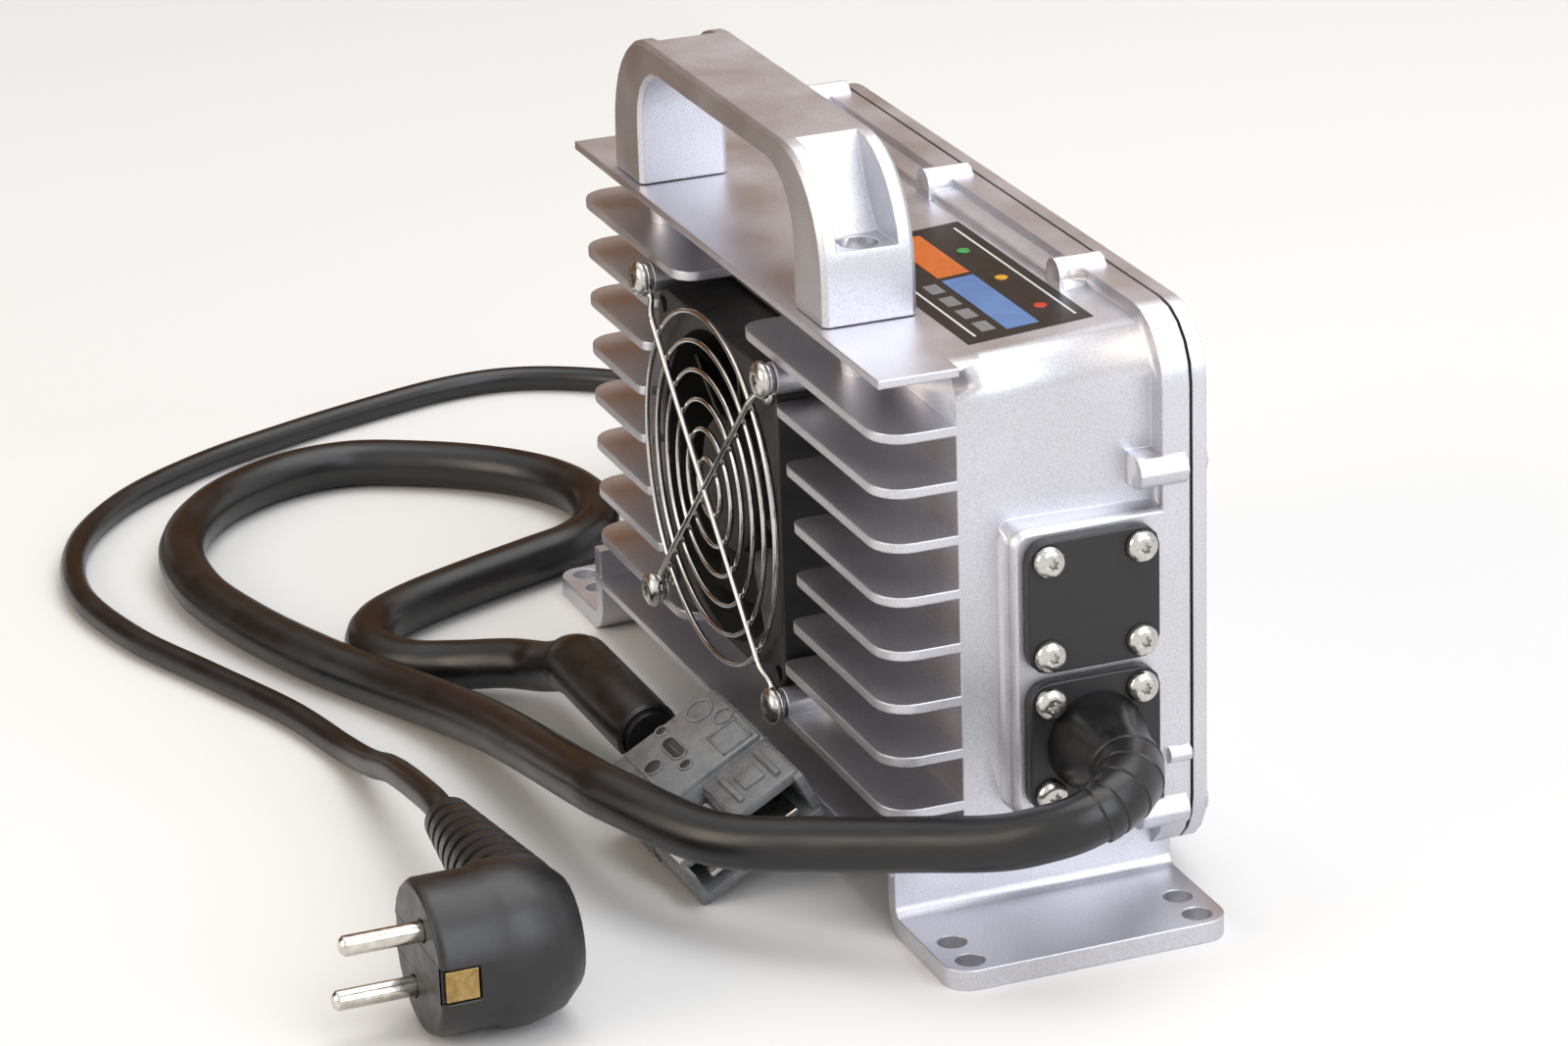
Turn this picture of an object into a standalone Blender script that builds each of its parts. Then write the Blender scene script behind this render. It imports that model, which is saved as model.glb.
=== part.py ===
"""Battery charger: a finned die-cast housing on two end feet, with a fan, a carrying handle and two leads.

Units are metres and +Z is up. X runs along the charger towards its output end, Y runs from the finned
front to the rear cover, and the charger stands on Z = 0 with X = 0 and Y = 0 at the middle of its footprint.
"""

import math

import bmesh
import bpy
from mathutils import Matrix, Vector

MM = 0.001

# Clearances
TOUCH_GAP = 0.3 * MM
SUNK = 1.0 * MM

# Housing
BODY_LENGTH = 201.0 * MM
TOP_HEIGHT = 135.0 * MM
BODY_UNDERSIDE = 14.5 * MM
BODY_CORNER_RADIUS = 8.5 * MM
BODY_DRAFT = 2.5 * MM
FLAT_TOP_DEPTH = 27.0 * MM
BODY_DEPTH = 65.0 * MM
WALL = 3.0 * MM
FRONT_WALL = 3.6 * MM

# Cooling fins
FIN_COUNT = 8
FIN_PITCH = 13.04 * MM
FIN_DEPTH = 18.4 * MM
FIN_THICKNESS = 2.3 * MM
FIN_DROP = 1.65 * MM
FIN_END_RADIUS = 8.0 * MM
FIN_TIP_RADIUS = 3.0 * MM
OUTER_FIN_TIP_RADIUS = 6.0 * MM
FLANGE_THICKNESS = 2.0 * MM
FIN_CUT_RADIUS = 51.0 * MM

# Rear rim, gasket and cover
RIM_OVERHANG = 8.5 * MM
RIM_ABOVE_TOP = 6.5 * MM
RIM_BELOW = 6.0 * MM
RIM_RADIUS = 16.0 * MM
RIM_THICKNESS = 6.7 * MM
GASKET_THICKNESS = 0.8 * MM
GASKET_EDGE = 0.6 * MM
GASKET_WIDTH = 1.6 * MM
COVER_DEPTH = 6.5 * MM
COVER_EDGE = 3.4 * MM
COVER_END_SLOPE = 9.0 * MM
COVER_SIDE_SLOPE = 2.5 * MM
COVER_WALL = 3.0 * MM
COVER_SCREW_INSET = 4.8 * MM
LUG_WIDTH = 7.8 * MM
LUG_PROUD = 2.4 * MM
LUG_LENGTH = 13.0 * MM
BAR_DEPTH = 5.6 * MM
BAR_BELOW_RIM = 2.2 * MM
BAR_EDGE = 1.0 * MM
NIB_RADIUS = 2.0 * MM
NIB_LENGTH = 5.5 * MM
NIB_HEIGHT = 36.0 * MM
TOP_LUG_PLACES = (-91.0 * MM, -12.5 * MM, 64.0 * MM)
END_LUG_HEIGHTS = (22.0 * MM, 106.0 * MM)

# Feet
FOOT_REACH = 33.3 * MM
FOOT_THICKNESS = 5.0 * MM
FOOT_WEB = 4.0 * MM
FOOT_BEND_RADIUS = 8.0 * MM
FOOT_FILLET = 2.5 * MM
FOOT_CORNER_RADIUS = 6.0 * MM
FOOT_FRONT = 0.5 * MM
FOOT_LENGTH = 69.5 * MM
FOOT_HOLE_RADIUS = 3.5 * MM
FOOT_HOLE_REACH = (18.6 * MM, 28.8 * MM)
FOOT_HOLE_INSET = 6.5 * MM

# Fan and guard
FAN_OFFSET = -6.8 * MM
FAN_HEIGHT = 73.3 * MM
FAN_SIZE = 80.0 * MM
FAN_DEPTH = 25.0 * MM
FAN_FRONT = 1.5 * MM
FAN_CORNER_RADIUS = 7.0 * MM
FAN_SCREW_PITCH = 71.5 * MM
FAN_POCKET_CLEARANCE = 1.2 * MM
FAN_POCKET_DEPTH = 7.0 * MM
BLADE_COUNT = 7
BLADE_TIP_RADIUS = 37.2 * MM
BORE_CLEARANCE = 1.2 * MM
HUB_RADIUS = 17.0 * MM
HUB_WALL = 2.0 * MM
STATOR_RADIUS = 11.0 * MM
SHAFT_RADIUS = 1.5 * MM
GUARD_PITCH = 82.5 * MM
GUARD_RING_COUNT = 6
GUARD_RADIUS = 43.5 * MM
GUARD_WIRE_RADIUS = 0.6 * MM
STRUT_RADIUS = 0.75 * MM
GUARD_LOOP_RADIUS = 3.0 * MM
GUARD_STANDOFF_RADIUS = 4.0 * MM
GUARD_STANDOFF_FRONT = 0.0 * MM
GUARD_RISE = 1.75 * MM
GUARD_HEAD_RADIUS = 4.2 * MM
GUARD_HEAD_HEIGHT = 2.5 * MM
GUARD_SHANK_RADIUS = 1.75 * MM
GUARD_SHANK_LENGTH = 13.0 * MM

# Handle
HANDLE_OFFSET = -6.4 * MM
HANDLE_HALF = 69.7 * MM
HANDLE_OPENING_HALF = 51.1 * MM
HANDLE_HEIGHT = 37.9 * MM
HANDLE_GRIP = 7.3 * MM
HANDLE_FRONT = 2.2 * MM
HANDLE_WIDTH = 23.1 * MM
HANDLE_SHOULDER = (24.6 * MM, 28.0 * MM)
HANDLE_INNER_RADIUS = 15.0 * MM
HANDLE_CHAMFER = 1.1 * MM
HANDLE_POCKET_FLOOR = 17.0 * MM
HANDLE_POCKET_SIDE = 4.0 * MM
HANDLE_POCKET_BACK = 13.3 * MM
HANDLE_SCREW_INSET = 6.6 * MM
HANDLE_SCREW_SEAT = 11.0 * MM
HANDLE_BOSS_RADIUS = 5.0 * MM

# Connection plates
PAD_PROUD = 8.6 * MM
PAD_FRONT = 27.3 * MM
PAD_DEPTH = 44.2 * MM
PAD_EDGE = 1.5 * MM
PAD_RADIUS = 4.0 * MM
PLATE_DEPTH = 32.5 * MM
PLATE_HEIGHT = 32.0 * MM
PLATE_THICKNESS = 3.0 * MM
PLATE_RADIUS = 5.0 * MM
PLATE_GAP = 2.3 * MM
PLATE_MIDDLE = 46.4 * MM
PLATE_SCREW_PITCH = 22.8 * MM
PORT_HEIGHT = 44.8 * MM
PORT_HOLE_RADIUS = 8.0 * MM
BOOT_WALL = 1.6 * MM
OUTPUT_BOOT_LENGTH = 11.7 * MM
INPUT_BOOT_LENGTH = 24.0 * MM
OUTPUT_BOOT_RADIUS = 11.5 * MM
INPUT_BOOT_RADIUS = 9.0 * MM

# Small screws
SCREW_HEAD_RADIUS = 3.5 * MM
SCREW_HEAD_HEIGHT = 2.4 * MM
SCREW_SHANK_RADIUS = 1.75 * MM
SCREW_SHANK_LENGTH = 9.0 * MM
FAN_HEAD_RADIUS = 2.8 * MM
FAN_HEAD_HEIGHT = 1.6 * MM
HANDLE_HEAD_RADIUS = 4.4 * MM
HANDLE_HEAD_HEIGHT = 3.2 * MM
HANDLE_SHANK_RADIUS = 2.4 * MM
HANDLE_SHANK_LENGTH = 20.0 * MM

# Electronics inside
BOARD_LENGTH = 176.0 * MM
BOARD_HEIGHT = 96.0 * MM
BOARD_THICKNESS = 1.6 * MM
BOARD_SEAT = 62.0 * MM
BOARD_BOSS_RADIUS = 4.0 * MM
BOARD_BOSS_INSET = 5.0 * MM
TRANSFORMER_SIZE = (38.0 * MM, 30.0 * MM, 38.0 * MM)
CAPACITOR_RADIUS = 12.5 * MM
CAPACITOR_LENGTH = 35.0 * MM
INDUCTOR_RADIUS = 17.0 * MM
INDUCTOR_BORE_RADIUS = 8.0 * MM
INDUCTOR_DEPTH = 16.0 * MM

# Output lead, in millimetres from the origin: middle of the cable from the gland to the connector
OUTPUT_DIAMETER = 13.0 * MM
OUTPUT_ROUTE = (
    (128.4, 9.2, 44.8), (135.4, 6.4, 43.8), (139.8, -0.2, 41.6), (140.9, -7.4, 39.4),
    (138.4, -14.6, 37.0), (131.6, -23.6, 33.6), (119.0, -37.0, 30.6), (103.0, -54.5, 27.4),
    (84.0, -73.7, 24.7), (54.0, -86.2, 25.0), (38.0, -88.7, 23.3), (-4.0, -89.7, 16.0),
    (-28.0, -91.2, 12.0), (-52.0, -95.2, 8.5), (-76.0, -103.2, 6.6), (-100.0, -113.6, 6.6),
    (-130.0, -123.4, 6.6), (-160.0, -128.6, 6.6), (-190.0, -125.2, 6.6), (-216.0, -110.2, 6.6),
    (-232.0, -87.2, 6.6), (-235.0, -65.2, 6.6), (-226.0, -45.9, 6.6), (-213.0, -29.1, 6.6),
    (-197.0, -17.2, 6.6), (-178.0, -12.4, 6.6), (-159.0, -16.7, 6.6), (-147.5, -27.2, 6.6),
    (-141.5, -41.2, 6.6), (-133.0, -62.2, 6.6), (-124.0, -81.2, 6.6), (-114.0, -94.0, 6.6),
    (-100.0, -99.0, 6.6), (-86.0, -94.0, 7.0), (-76.5, -83.2, 8.4), (-66.0, -73.2, 11.0),
    (-53.8, -67.2, 13.6),
)

# Mains lead, in millimetres from the origin: gland to coil, then coil to plug
MAINS_DIAMETER = 7.0 * MM
MAINS_INNER_ROUTE = (
    (-143.0, 9.2, 44.8), (-153.0, 9.8, 41.2), (-160.0, 9.8, 33.5), (-163.2, 9.8, 24.5),
    (-161.4, 10.0, 15.5), (-157.4, 12.2, 8.8), (-153.4, 15.6, 5.0),
)
MAINS_OUTER_ROUTE = (
    (-222.8, 83.8, 3.7), (-237.5, 67.0, 3.7), (-258.0, 46.0, 3.7), (-279.0, 23.5, 3.7),
    (-289.5, 3.0, 3.7), (-290.0, -18.0, 3.7), (-283.0, -44.0, 3.7), (-273.0, -72.0, 3.7),
    (-260.0, -101.0, 3.7), (-240.0, -129.0, 3.7), (-212.0, -149.0, 3.7), (-178.0, -157.0, 3.7),
    (-142.0, -152.0, 3.7), (-108.0, -140.0, 3.7), (-76.0, -128.6, 3.7), (-48.0, -123.0, 4.2),
    (-26.0, -122.2, 8.6), (-6.0, -122.2, 14.6),
)
COIL_CENTRE = (-185.0 * MM, 52.8 * MM)
COIL_RADIUS = 38.0 * MM
COIL_SECTION = 14.0 * MM
TIE_WIDTH = 8.0 * MM
TIE_THICKNESS = 1.2 * MM

# Mains plug
PLUG_X = 103.0 * MM
PLUG_FACE = -151.2 * MM
PLUG_BACK = -116.2 * MM
PLUG_RADIUS = 19.0 * MM
PIN_PITCH = 19.0 * MM
PIN_RADIUS = 2.4 * MM
PIN_LENGTH = 19.0 * MM
PIN_SEAT = 5.0 * MM
PIN_LEAN = 26.0
RELIEF_LENGTH = 68.0 * MM
RELIEF_Y = -122.2 * MM
RELIEF_HEIGHT = 19.0 * MM
RELIEF_END_RADIUS = 4.8 * MM

# Battery connector
CONNECTOR_LENGTH = 47.9 * MM
CONNECTOR_WIDTH = 36.5 * MM
CONNECTOR_HEIGHT = 15.9 * MM
CONNECTOR_CENTRE = (45.0 * MM, -60.3 * MM, 16.95 * MM)
CHAMBER_FLOOR = -0.42
CHAMBER_TOP = 0.78
CONTACT_THICKNESS = 1.6 * MM
CONNECTOR_ROLL = 28.0
CONNECTOR_PITCH = 5.0
CONNECTOR_YAW = 5.0
SLEEVE_LENGTH = 38.0 * MM
SLEEVE_RADIUS = 7.9 * MM

# Sizes that follow from the ones above
SHANK_CLEARANCE = TOUCH_GAP
GUARD_LOOP_Y = GUARD_STANDOFF_FRONT - TOUCH_GAP - STRUT_RADIUS
GUARD_HEAD_Y = GUARD_LOOP_Y - STRUT_RADIUS - TOUCH_GAP
FRONT_PROUD = GUARD_HEAD_HEIGHT - GUARD_HEAD_Y
RIM_BACK = BODY_DEPTH + RIM_THICKNESS
COVER_FRONT = RIM_BACK + GASKET_THICKNESS
COVER_BACK = COVER_FRONT + COVER_DEPTH
FIN_FRONT_Y = -(COVER_BACK - FRONT_PROUD) / 2
BODY_HALF = BODY_LENGTH / 2
RIM_HALF = BODY_HALF + RIM_OVERHANG
RIM_TOP = TOP_HEIGHT + RIM_ABOVE_TOP
RIM_BOTTOM = BODY_UNDERSIDE - RIM_BELOW
PAD_FACE = BODY_HALF + PAD_PROUD
PLATE_FACE = PAD_FACE + TOUCH_GAP + PLATE_THICKNESS
FAN_BACK = FAN_FRONT + FAN_DEPTH
POCKET_FLOOR = FAN_BACK + FAN_POCKET_DEPTH
POCKET_HALF = FAN_SIZE / 2 + FAN_POCKET_CLEARANCE
HANDLE_LEG_MIDDLE = HANDLE_HALF - HANDLE_SCREW_INSET


def depth(distance):
    """World Y of a plane that lies this far behind the front edges of the fins."""
    return FIN_FRONT_Y + distance


def clear_scene():
    for obj in list(bpy.data.objects):
        bpy.data.objects.remove(obj, do_unlink=True)


def material(name, colour, roughness, metallic=0.0):
    """A Principled material, made once for each name."""
    found = bpy.data.materials.get(name)
    if found:
        return found
    made = bpy.data.materials.new(name)
    made.use_nodes = True
    shader = made.node_tree.nodes["Principled BSDF"]
    shader.inputs["Base Color"].default_value = (*colour, 1.0)
    shader.inputs["Roughness"].default_value = roughness
    shader.inputs["Metallic"].default_value = metallic
    return made


def cast_aluminium():
    return material("cast_aluminium", (0.62, 0.62, 0.64), 0.42, 1.0)


def steel():
    return material("plated_steel", (0.72, 0.71, 0.69), 0.22, 1.0)


def black_plastic():
    return material("black_plastic", (0.018, 0.018, 0.020), 0.5)


def black_rubber():
    return material("black_rubber", (0.022, 0.022, 0.024), 0.6)


def arc(centre, radius, start, end, steps):
    """Points on a circle from one angle to another, in degrees."""
    angles = [math.radians(start + (end - start) * i / steps) for i in range(steps + 1)]
    return [(centre[0] + radius * math.cos(a), centre[1] + radius * math.sin(a)) for a in angles]


def rounded_rectangle(low, high, radius, steps=4):
    """Anticlockwise outline of a rectangle between two corners, with round corners."""
    (x0, y0), (x1, y1) = low, high
    return (
        arc((x1 - radius, y1 - radius), radius, 0, 90, steps)
        + arc((x0 + radius, y1 - radius), radius, 90, 180, steps)
        + arc((x0 + radius, y0 + radius), radius, 180, 270, steps)
        + arc((x1 - radius, y0 + radius), radius, 270, 360, steps)
    )


def on_plane(point, axis, place):
    """A flat outline's point lifted to 3D: the outline lies across the axis, at this place along it."""
    u, v = point
    if axis == "X":
        return (place, u, v)
    if axis == "Y":
        return (u, place, v)
    return (u, v, place)


def finish(name, mesh, finish_material=None, smooth=True):
    """A scene object from a bmesh, with its faces turned outwards."""
    bmesh.ops.recalc_face_normals(mesh, faces=mesh.faces)
    data = bpy.data.meshes.new(name)
    mesh.to_mesh(data)
    mesh.free()
    if smooth:
        data.shade_smooth()
        data.set_sharp_from_angle(angle=math.radians(35))
    obj = bpy.data.objects.new(name, data)
    if finish_material:
        data.materials.append(finish_material)
    bpy.context.scene.collection.objects.link(obj)
    return obj


def loft_mesh(loops):
    """A closed body through loops of equal length, capped at both ends."""
    mesh = bmesh.new()
    rows = [[mesh.verts.new(point) for point in loop] for loop in loops]
    count = len(rows[0])
    for lower, upper in zip(rows, rows[1:]):
        for i in range(count):
            j = (i + 1) % count
            mesh.faces.new((lower[i], lower[j], upper[j], upper[i]))
    mesh.faces.new(rows[0][::-1])
    mesh.faces.new(rows[-1])
    return mesh


def prism_mesh(outline, axis, start, end):
    return loft_mesh([[on_plane(point, axis, place) for point in outline] for place in (start, end)])


def turned_mesh(profile, axis, centre, sides, turn=0.0):
    """A body of revolution from (radius, place along the axis) pairs; a radius of zero closes an end."""
    mesh = bmesh.new()
    rows = []
    for radius, place in profile:
        if radius == 0:
            rows.append([mesh.verts.new(on_plane(centre, axis, place))])
            continue
        ring = []
        for i in range(sides):
            angle = math.radians(turn) + 2 * math.pi * i / sides
            point = (centre[0] + radius * math.cos(angle), centre[1] + radius * math.sin(angle))
            ring.append(mesh.verts.new(on_plane(point, axis, place)))
        rows.append(ring)
    for lower, upper in zip(rows, rows[1:]):
        for i in range(sides):
            j = (i + 1) % sides
            corners = [lower[i % len(lower)], lower[j % len(lower)]]
            corners += [upper[j % len(upper)], upper[i % len(upper)]]
            mesh.faces.new(list(dict.fromkeys(corners)))
    return mesh


def cylinder_mesh(axis, centre, radius, start, end, sides=12):
    profile = [(0, start), (radius, start), (radius, end), (0, end)]
    return turned_mesh(profile, axis, centre, sides)


def tube_mesh(points, radius, sides, closed=False):
    """A round wire through the points; a closed wire joins its last point to its first."""
    path = [Vector(point) for point in points]
    count = len(path)
    mesh = bmesh.new()
    rings = []
    across = None
    for i, point in enumerate(path):
        before = path[i - 1] if closed or i > 0 else point
        after = path[(i + 1) % count] if closed or i < count - 1 else point
        along = (after - before).normalized()
        if across is None:
            across = along.orthogonal().normalized()
        across = (across - along * across.dot(along)).normalized()
        other = along.cross(across)
        ring = []
        for k in range(sides):
            angle = 2 * math.pi * k / sides
            outwards = math.cos(angle) * across + math.sin(angle) * other
            ring.append(mesh.verts.new(point + radius * outwards))
        rings.append(ring)
    pairs = list(zip(rings, rings[1:]))
    if closed:
        pairs.append((rings[-1], rings[0]))
    for lower, upper in pairs:
        for k in range(sides):
            n = (k + 1) % sides
            mesh.faces.new((lower[k], lower[n], upper[n], upper[k]))
    if not closed:
        mesh.faces.new(rings[0][::-1])
        mesh.faces.new(rings[-1])
    return mesh


def combine(target, name, meshes, operation):
    """One Boolean of the target with a group of helper meshes."""
    group = bpy.data.collections.new(name)
    bpy.context.scene.collection.children.link(group)
    for number, mesh in enumerate(meshes):
        helper = finish(f"{name}_{number}", mesh, smooth=False)
        bpy.context.scene.collection.objects.unlink(helper)
        group.objects.link(helper)
        helper.hide_render = True
        helper.display_type = "WIRE"
    modifier = target.modifiers.new(name, "BOOLEAN")
    modifier.operation = operation
    modifier.solver = "EXACT"
    modifier.operand_type = "COLLECTION"
    modifier.collection = group


def bevel_edges(mesh, chosen, width, segments):
    """Round the edges for which chosen(edge) is true."""
    edges = [edge for edge in mesh.edges if chosen(edge)]
    bmesh.ops.bevel(mesh, geom=edges, offset=width, segments=segments, profile=0.5, affect="EDGES")


def screw(name, base, direction, head_radius, head_height, shank_radius, shank_length, sides=8):
    """A pan-head screw whose head stands on the base point and points in the direction."""
    profile = [
        (0, -shank_length),
        (shank_radius, -shank_length),
        (shank_radius, 0),
        (head_radius, 0),
        (head_radius, 0.45 * head_height),
        (0.72 * head_radius, 0.9 * head_height),
        (0, head_height),
    ]
    obj = finish(name, turned_mesh(profile, "Z", (0, 0), sides), steel())
    obj.rotation_euler = Vector(direction).to_track_quat("Z", "Y").to_euler()
    obj.location = base
    return obj


def corners_about(centre, pitch):
    """The four corners of a square, anticlockwise from the lower left."""
    u, v = centre
    half = pitch / 2
    return [(u - half, v - half), (u + half, v - half), (u + half, v + half), (u - half, v + half)]


def guard_corners():
    return corners_about((FAN_OFFSET, FAN_HEIGHT), GUARD_PITCH)


def fan_corners():
    return corners_about((FAN_OFFSET, FAN_HEIGHT), FAN_SCREW_PITCH)


def cover_screw_places():
    """Where the cover screws stand, as (name, x, z)."""
    top = RIM_TOP - COVER_SCREW_INSET
    bottom = RIM_BOTTOM + COVER_SCREW_INSET
    side = RIM_HALF - COVER_SCREW_INSET
    places = []
    for number, x in enumerate(TOP_LUG_PLACES, 1):
        places.append((f"cover_screw_top_{number}", x, top))
        places.append((f"cover_screw_bottom_{number}", x, bottom))
    for number, z in enumerate(END_LUG_HEIGHTS, 1):
        places.append((f"cover_screw_output_{number}", side, z))
        places.append((f"cover_screw_input_{number}", -side, z))
    return places


def board_corners():
    half_x = BOARD_LENGTH / 2 - BOARD_BOSS_INSET
    half_z = BOARD_HEIGHT / 2 - BOARD_BOSS_INSET
    middle = (TOP_HEIGHT + BODY_UNDERSIDE) / 2
    return [(sx * half_x, middle + sz * half_z) for sx, sz in ((-1, -1), (1, -1), (1, 1), (-1, 1))]


def port_screws(height):
    return corners_about((depth(PLATE_MIDDLE), height), PLATE_SCREW_PITCH)


def port_heights(side):
    """Heights of the plates on one end: the output end also has a blank signal plate."""
    lower = PORT_HEIGHT
    if side < 0:
        return (lower,)
    return (lower, lower + PLATE_HEIGHT + PLATE_GAP)


def body_section(distance, inset=0.0):
    """The housing's outline at a distance behind the fin fronts: it grows towards the rear, for draft."""
    growth = BODY_DRAFT * (distance - FIN_DEPTH) / (BODY_DEPTH - FIN_DEPTH)
    rise = max(0.0, BODY_DRAFT * (distance - FLAT_TOP_DEPTH) / (BODY_DEPTH - FLAT_TOP_DEPTH))
    half = BODY_HALF + growth - inset
    low = BODY_UNDERSIDE - rise + inset
    high = TOP_HEIGHT + rise - inset
    radius = BODY_CORNER_RADIUS + growth - inset
    outline = rounded_rectangle((-half, low), (half, high), radius)
    return [on_plane(point, "Y", depth(distance)) for point in outline]


def fin_height(number):
    """Middle height of a fin, counted down from the top flange."""
    return TOP_HEIGHT - number * FIN_PITCH - FIN_DROP


def fin_gap_half(height):
    """Half the width that the fan takes out of a fin at this height."""
    rise = abs(height - FAN_HEIGHT)
    half = math.sqrt(max(0.0, FIN_CUT_RADIUS**2 - rise**2))
    if rise < FAN_SIZE / 2:
        half = max(half, POCKET_HALF + TOUCH_GAP)
    return half


def fin_mesh(number, side):
    """Half of a fin: rounded at its outer end and where it stops beside the fan."""
    height = fin_height(number)
    inner = FAN_OFFSET * side + fin_gap_half(height)
    tip = OUTER_FIN_TIP_RADIUS if number in (1, FIN_COUNT) else FIN_TIP_RADIUS
    root = FIN_DEPTH + SUNK
    outline = [(BODY_HALF, root)]
    outline += arc((BODY_HALF - FIN_END_RADIUS, FIN_END_RADIUS), FIN_END_RADIUS, 0, -90, 5)
    outline += arc((inner + tip, tip), tip, -90, -180, 3)
    outline += [(inner, root)]
    placed = [(side * x, depth(y)) for x, y in outline]
    return prism_mesh(placed, "Z", height - FIN_THICKNESS / 2, height + FIN_THICKNESS / 2)


def flange_mesh(top):
    outline = [
        (-BODY_HALF, depth(0)),
        (BODY_HALF, depth(0)),
        (BODY_HALF, depth(FIN_DEPTH + SUNK)),
        (-BODY_HALF, depth(FIN_DEPTH + SUNK)),
    ]
    return prism_mesh(outline, "Z", top - FLANGE_THICKNESS, top)


def foot_mesh(side):
    """An angle foot: a web under the end wall, a bend and a plate that reaches outwards."""
    inner = BODY_HALF - WALL
    outer = inner + FOOT_WEB
    reach = BODY_HALF + FOOT_REACH + SUNK
    top = BODY_UNDERSIDE + BODY_CORNER_RADIUS + SUNK
    bend = arc((inner + FOOT_BEND_RADIUS, FOOT_BEND_RADIUS), FOOT_BEND_RADIUS, 270, 180, 5)
    fillet = arc((outer + FOOT_FILLET, FOOT_THICKNESS + FOOT_FILLET), FOOT_FILLET, 180, 270, 3)
    profile = [(inner, top), (outer, top)] + fillet + [(reach, FOOT_THICKNESS), (reach, 0)] + bend
    placed = [(side * x, z) for x, z in profile]
    mesh = prism_mesh(placed, "Y", depth(FOOT_FRONT), depth(FOOT_FRONT + FOOT_LENGTH))

    def at_outer_corner(edge):
        ends = [vertex.co for vertex in edge.verts]
        outermost = all(abs(abs(end.x) - reach) < TOUCH_GAP for end in ends)
        return outermost and abs(ends[0].y - ends[1].y) < TOUCH_GAP

    bevel_edges(mesh, at_outer_corner, FOOT_CORNER_RADIUS, 4)
    return mesh


def lug_mesh(x, z, sideways):
    """A round-backed lug for a cover screw; sideways lugs stand out of an end wall."""
    half = LUG_WIDTH / 2
    reach = COVER_SCREW_INSET + LUG_PROUD - half
    sunk = half + 2 * SUNK
    outline = [(half, -sunk)] + arc((0, reach), half, 0, 180, 6) + [(-half, -sunk)]
    if sideways:
        turn = 1 if x > 0 else -1
        placed = [(x + turn * v, z - turn * u) for u, v in outline]
    else:
        turn = 1 if z > TOP_HEIGHT / 2 else -1
        placed = [(x + turn * u, z + turn * v) for u, v in outline]
    return prism_mesh(placed, "Y", depth(RIM_BACK - LUG_LENGTH), depth(RIM_BACK - SUNK))


def pad_mesh(side):
    """The raised pad that carries the connection plates, with its front edge bevelled."""
    heights = port_heights(side)
    margin = PLATE_HEIGHT / 2 + PLATE_GAP
    low = (depth(PAD_FRONT), heights[0] - margin)
    high = (depth(PAD_FRONT + PAD_DEPTH), heights[-1] + margin)
    loops = []
    for place, inset in ((BODY_HALF - WALL / 2, 0), (PAD_FACE - PAD_EDGE, 0), (PAD_FACE, PAD_EDGE)):
        inner_low = (low[0] + inset, low[1] + inset)
        inner_high = (high[0] - inset, high[1] - inset)
        outline = rounded_rectangle(inner_low, inner_high, PAD_RADIUS - inset / 2)
        loops.append([on_plane(point, "X", side * place) for point in outline])
    return loft_mesh(loops)


def rim_mesh():
    outline = rounded_rectangle((-RIM_HALF, RIM_BOTTOM), (RIM_HALF, RIM_TOP), RIM_RADIUS, 5)
    return prism_mesh(outline, "Y", depth(BODY_DEPTH), depth(RIM_BACK))


def bar_mesh():
    """A bar along the front of the rim, from the first top lug to the last, a little lower than the rim."""
    front = depth(BODY_DEPTH - BAR_DEPTH)
    root = depth(BODY_DEPTH + SUNK)
    top = RIM_TOP - BAR_BELOW_RIM
    profile = [
        (front, TOP_HEIGHT - SUNK),
        (root, TOP_HEIGHT - SUNK),
        (root, top),
        (front + BAR_EDGE, top),
        (front, top - BAR_EDGE),
    ]
    return prism_mesh(profile, "X", TOP_LUG_PLACES[0], TOP_LUG_PLACES[-1])


def nib_mesh(side):
    """A small round nib at the back of a pad, which lines the cover up with the rim."""
    centre = (side * PAD_FACE, NIB_HEIGHT)
    start = depth(RIM_BACK - TOUCH_GAP - NIB_LENGTH)
    return cylinder_mesh("Y", centre, NIB_RADIUS, start, depth(RIM_BACK - TOUCH_GAP), 10)


def standoff_meshes():
    """Round posts for the guard screws, tied to the nearest fin by a short rib."""
    meshes = []
    for x, z in guard_corners():
        post = cylinder_mesh(
            "Y", (x, z), GUARD_STANDOFF_RADIUS, depth(GUARD_STANDOFF_FRONT), depth(FIN_DEPTH + SUNK), 14
        )
        meshes.append(post)
        if z > FAN_HEIGHT:
            near = fin_height(1)
            outline = [(x - SUNK, z), (x + SUNK, z), (x + SUNK, near), (x - SUNK, near)]
            start = depth(GUARD_STANDOFF_FRONT + 2 * SUNK)
            meshes.append(prism_mesh(outline, "Y", start, depth(FIN_DEPTH + SUNK)))
    return meshes


def handle_screw_places():
    y = depth(HANDLE_FRONT + HANDLE_WIDTH / 2)
    return [(HANDLE_OFFSET + side * HANDLE_LEG_MIDDLE, y) for side in (-1, 1)]


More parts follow.
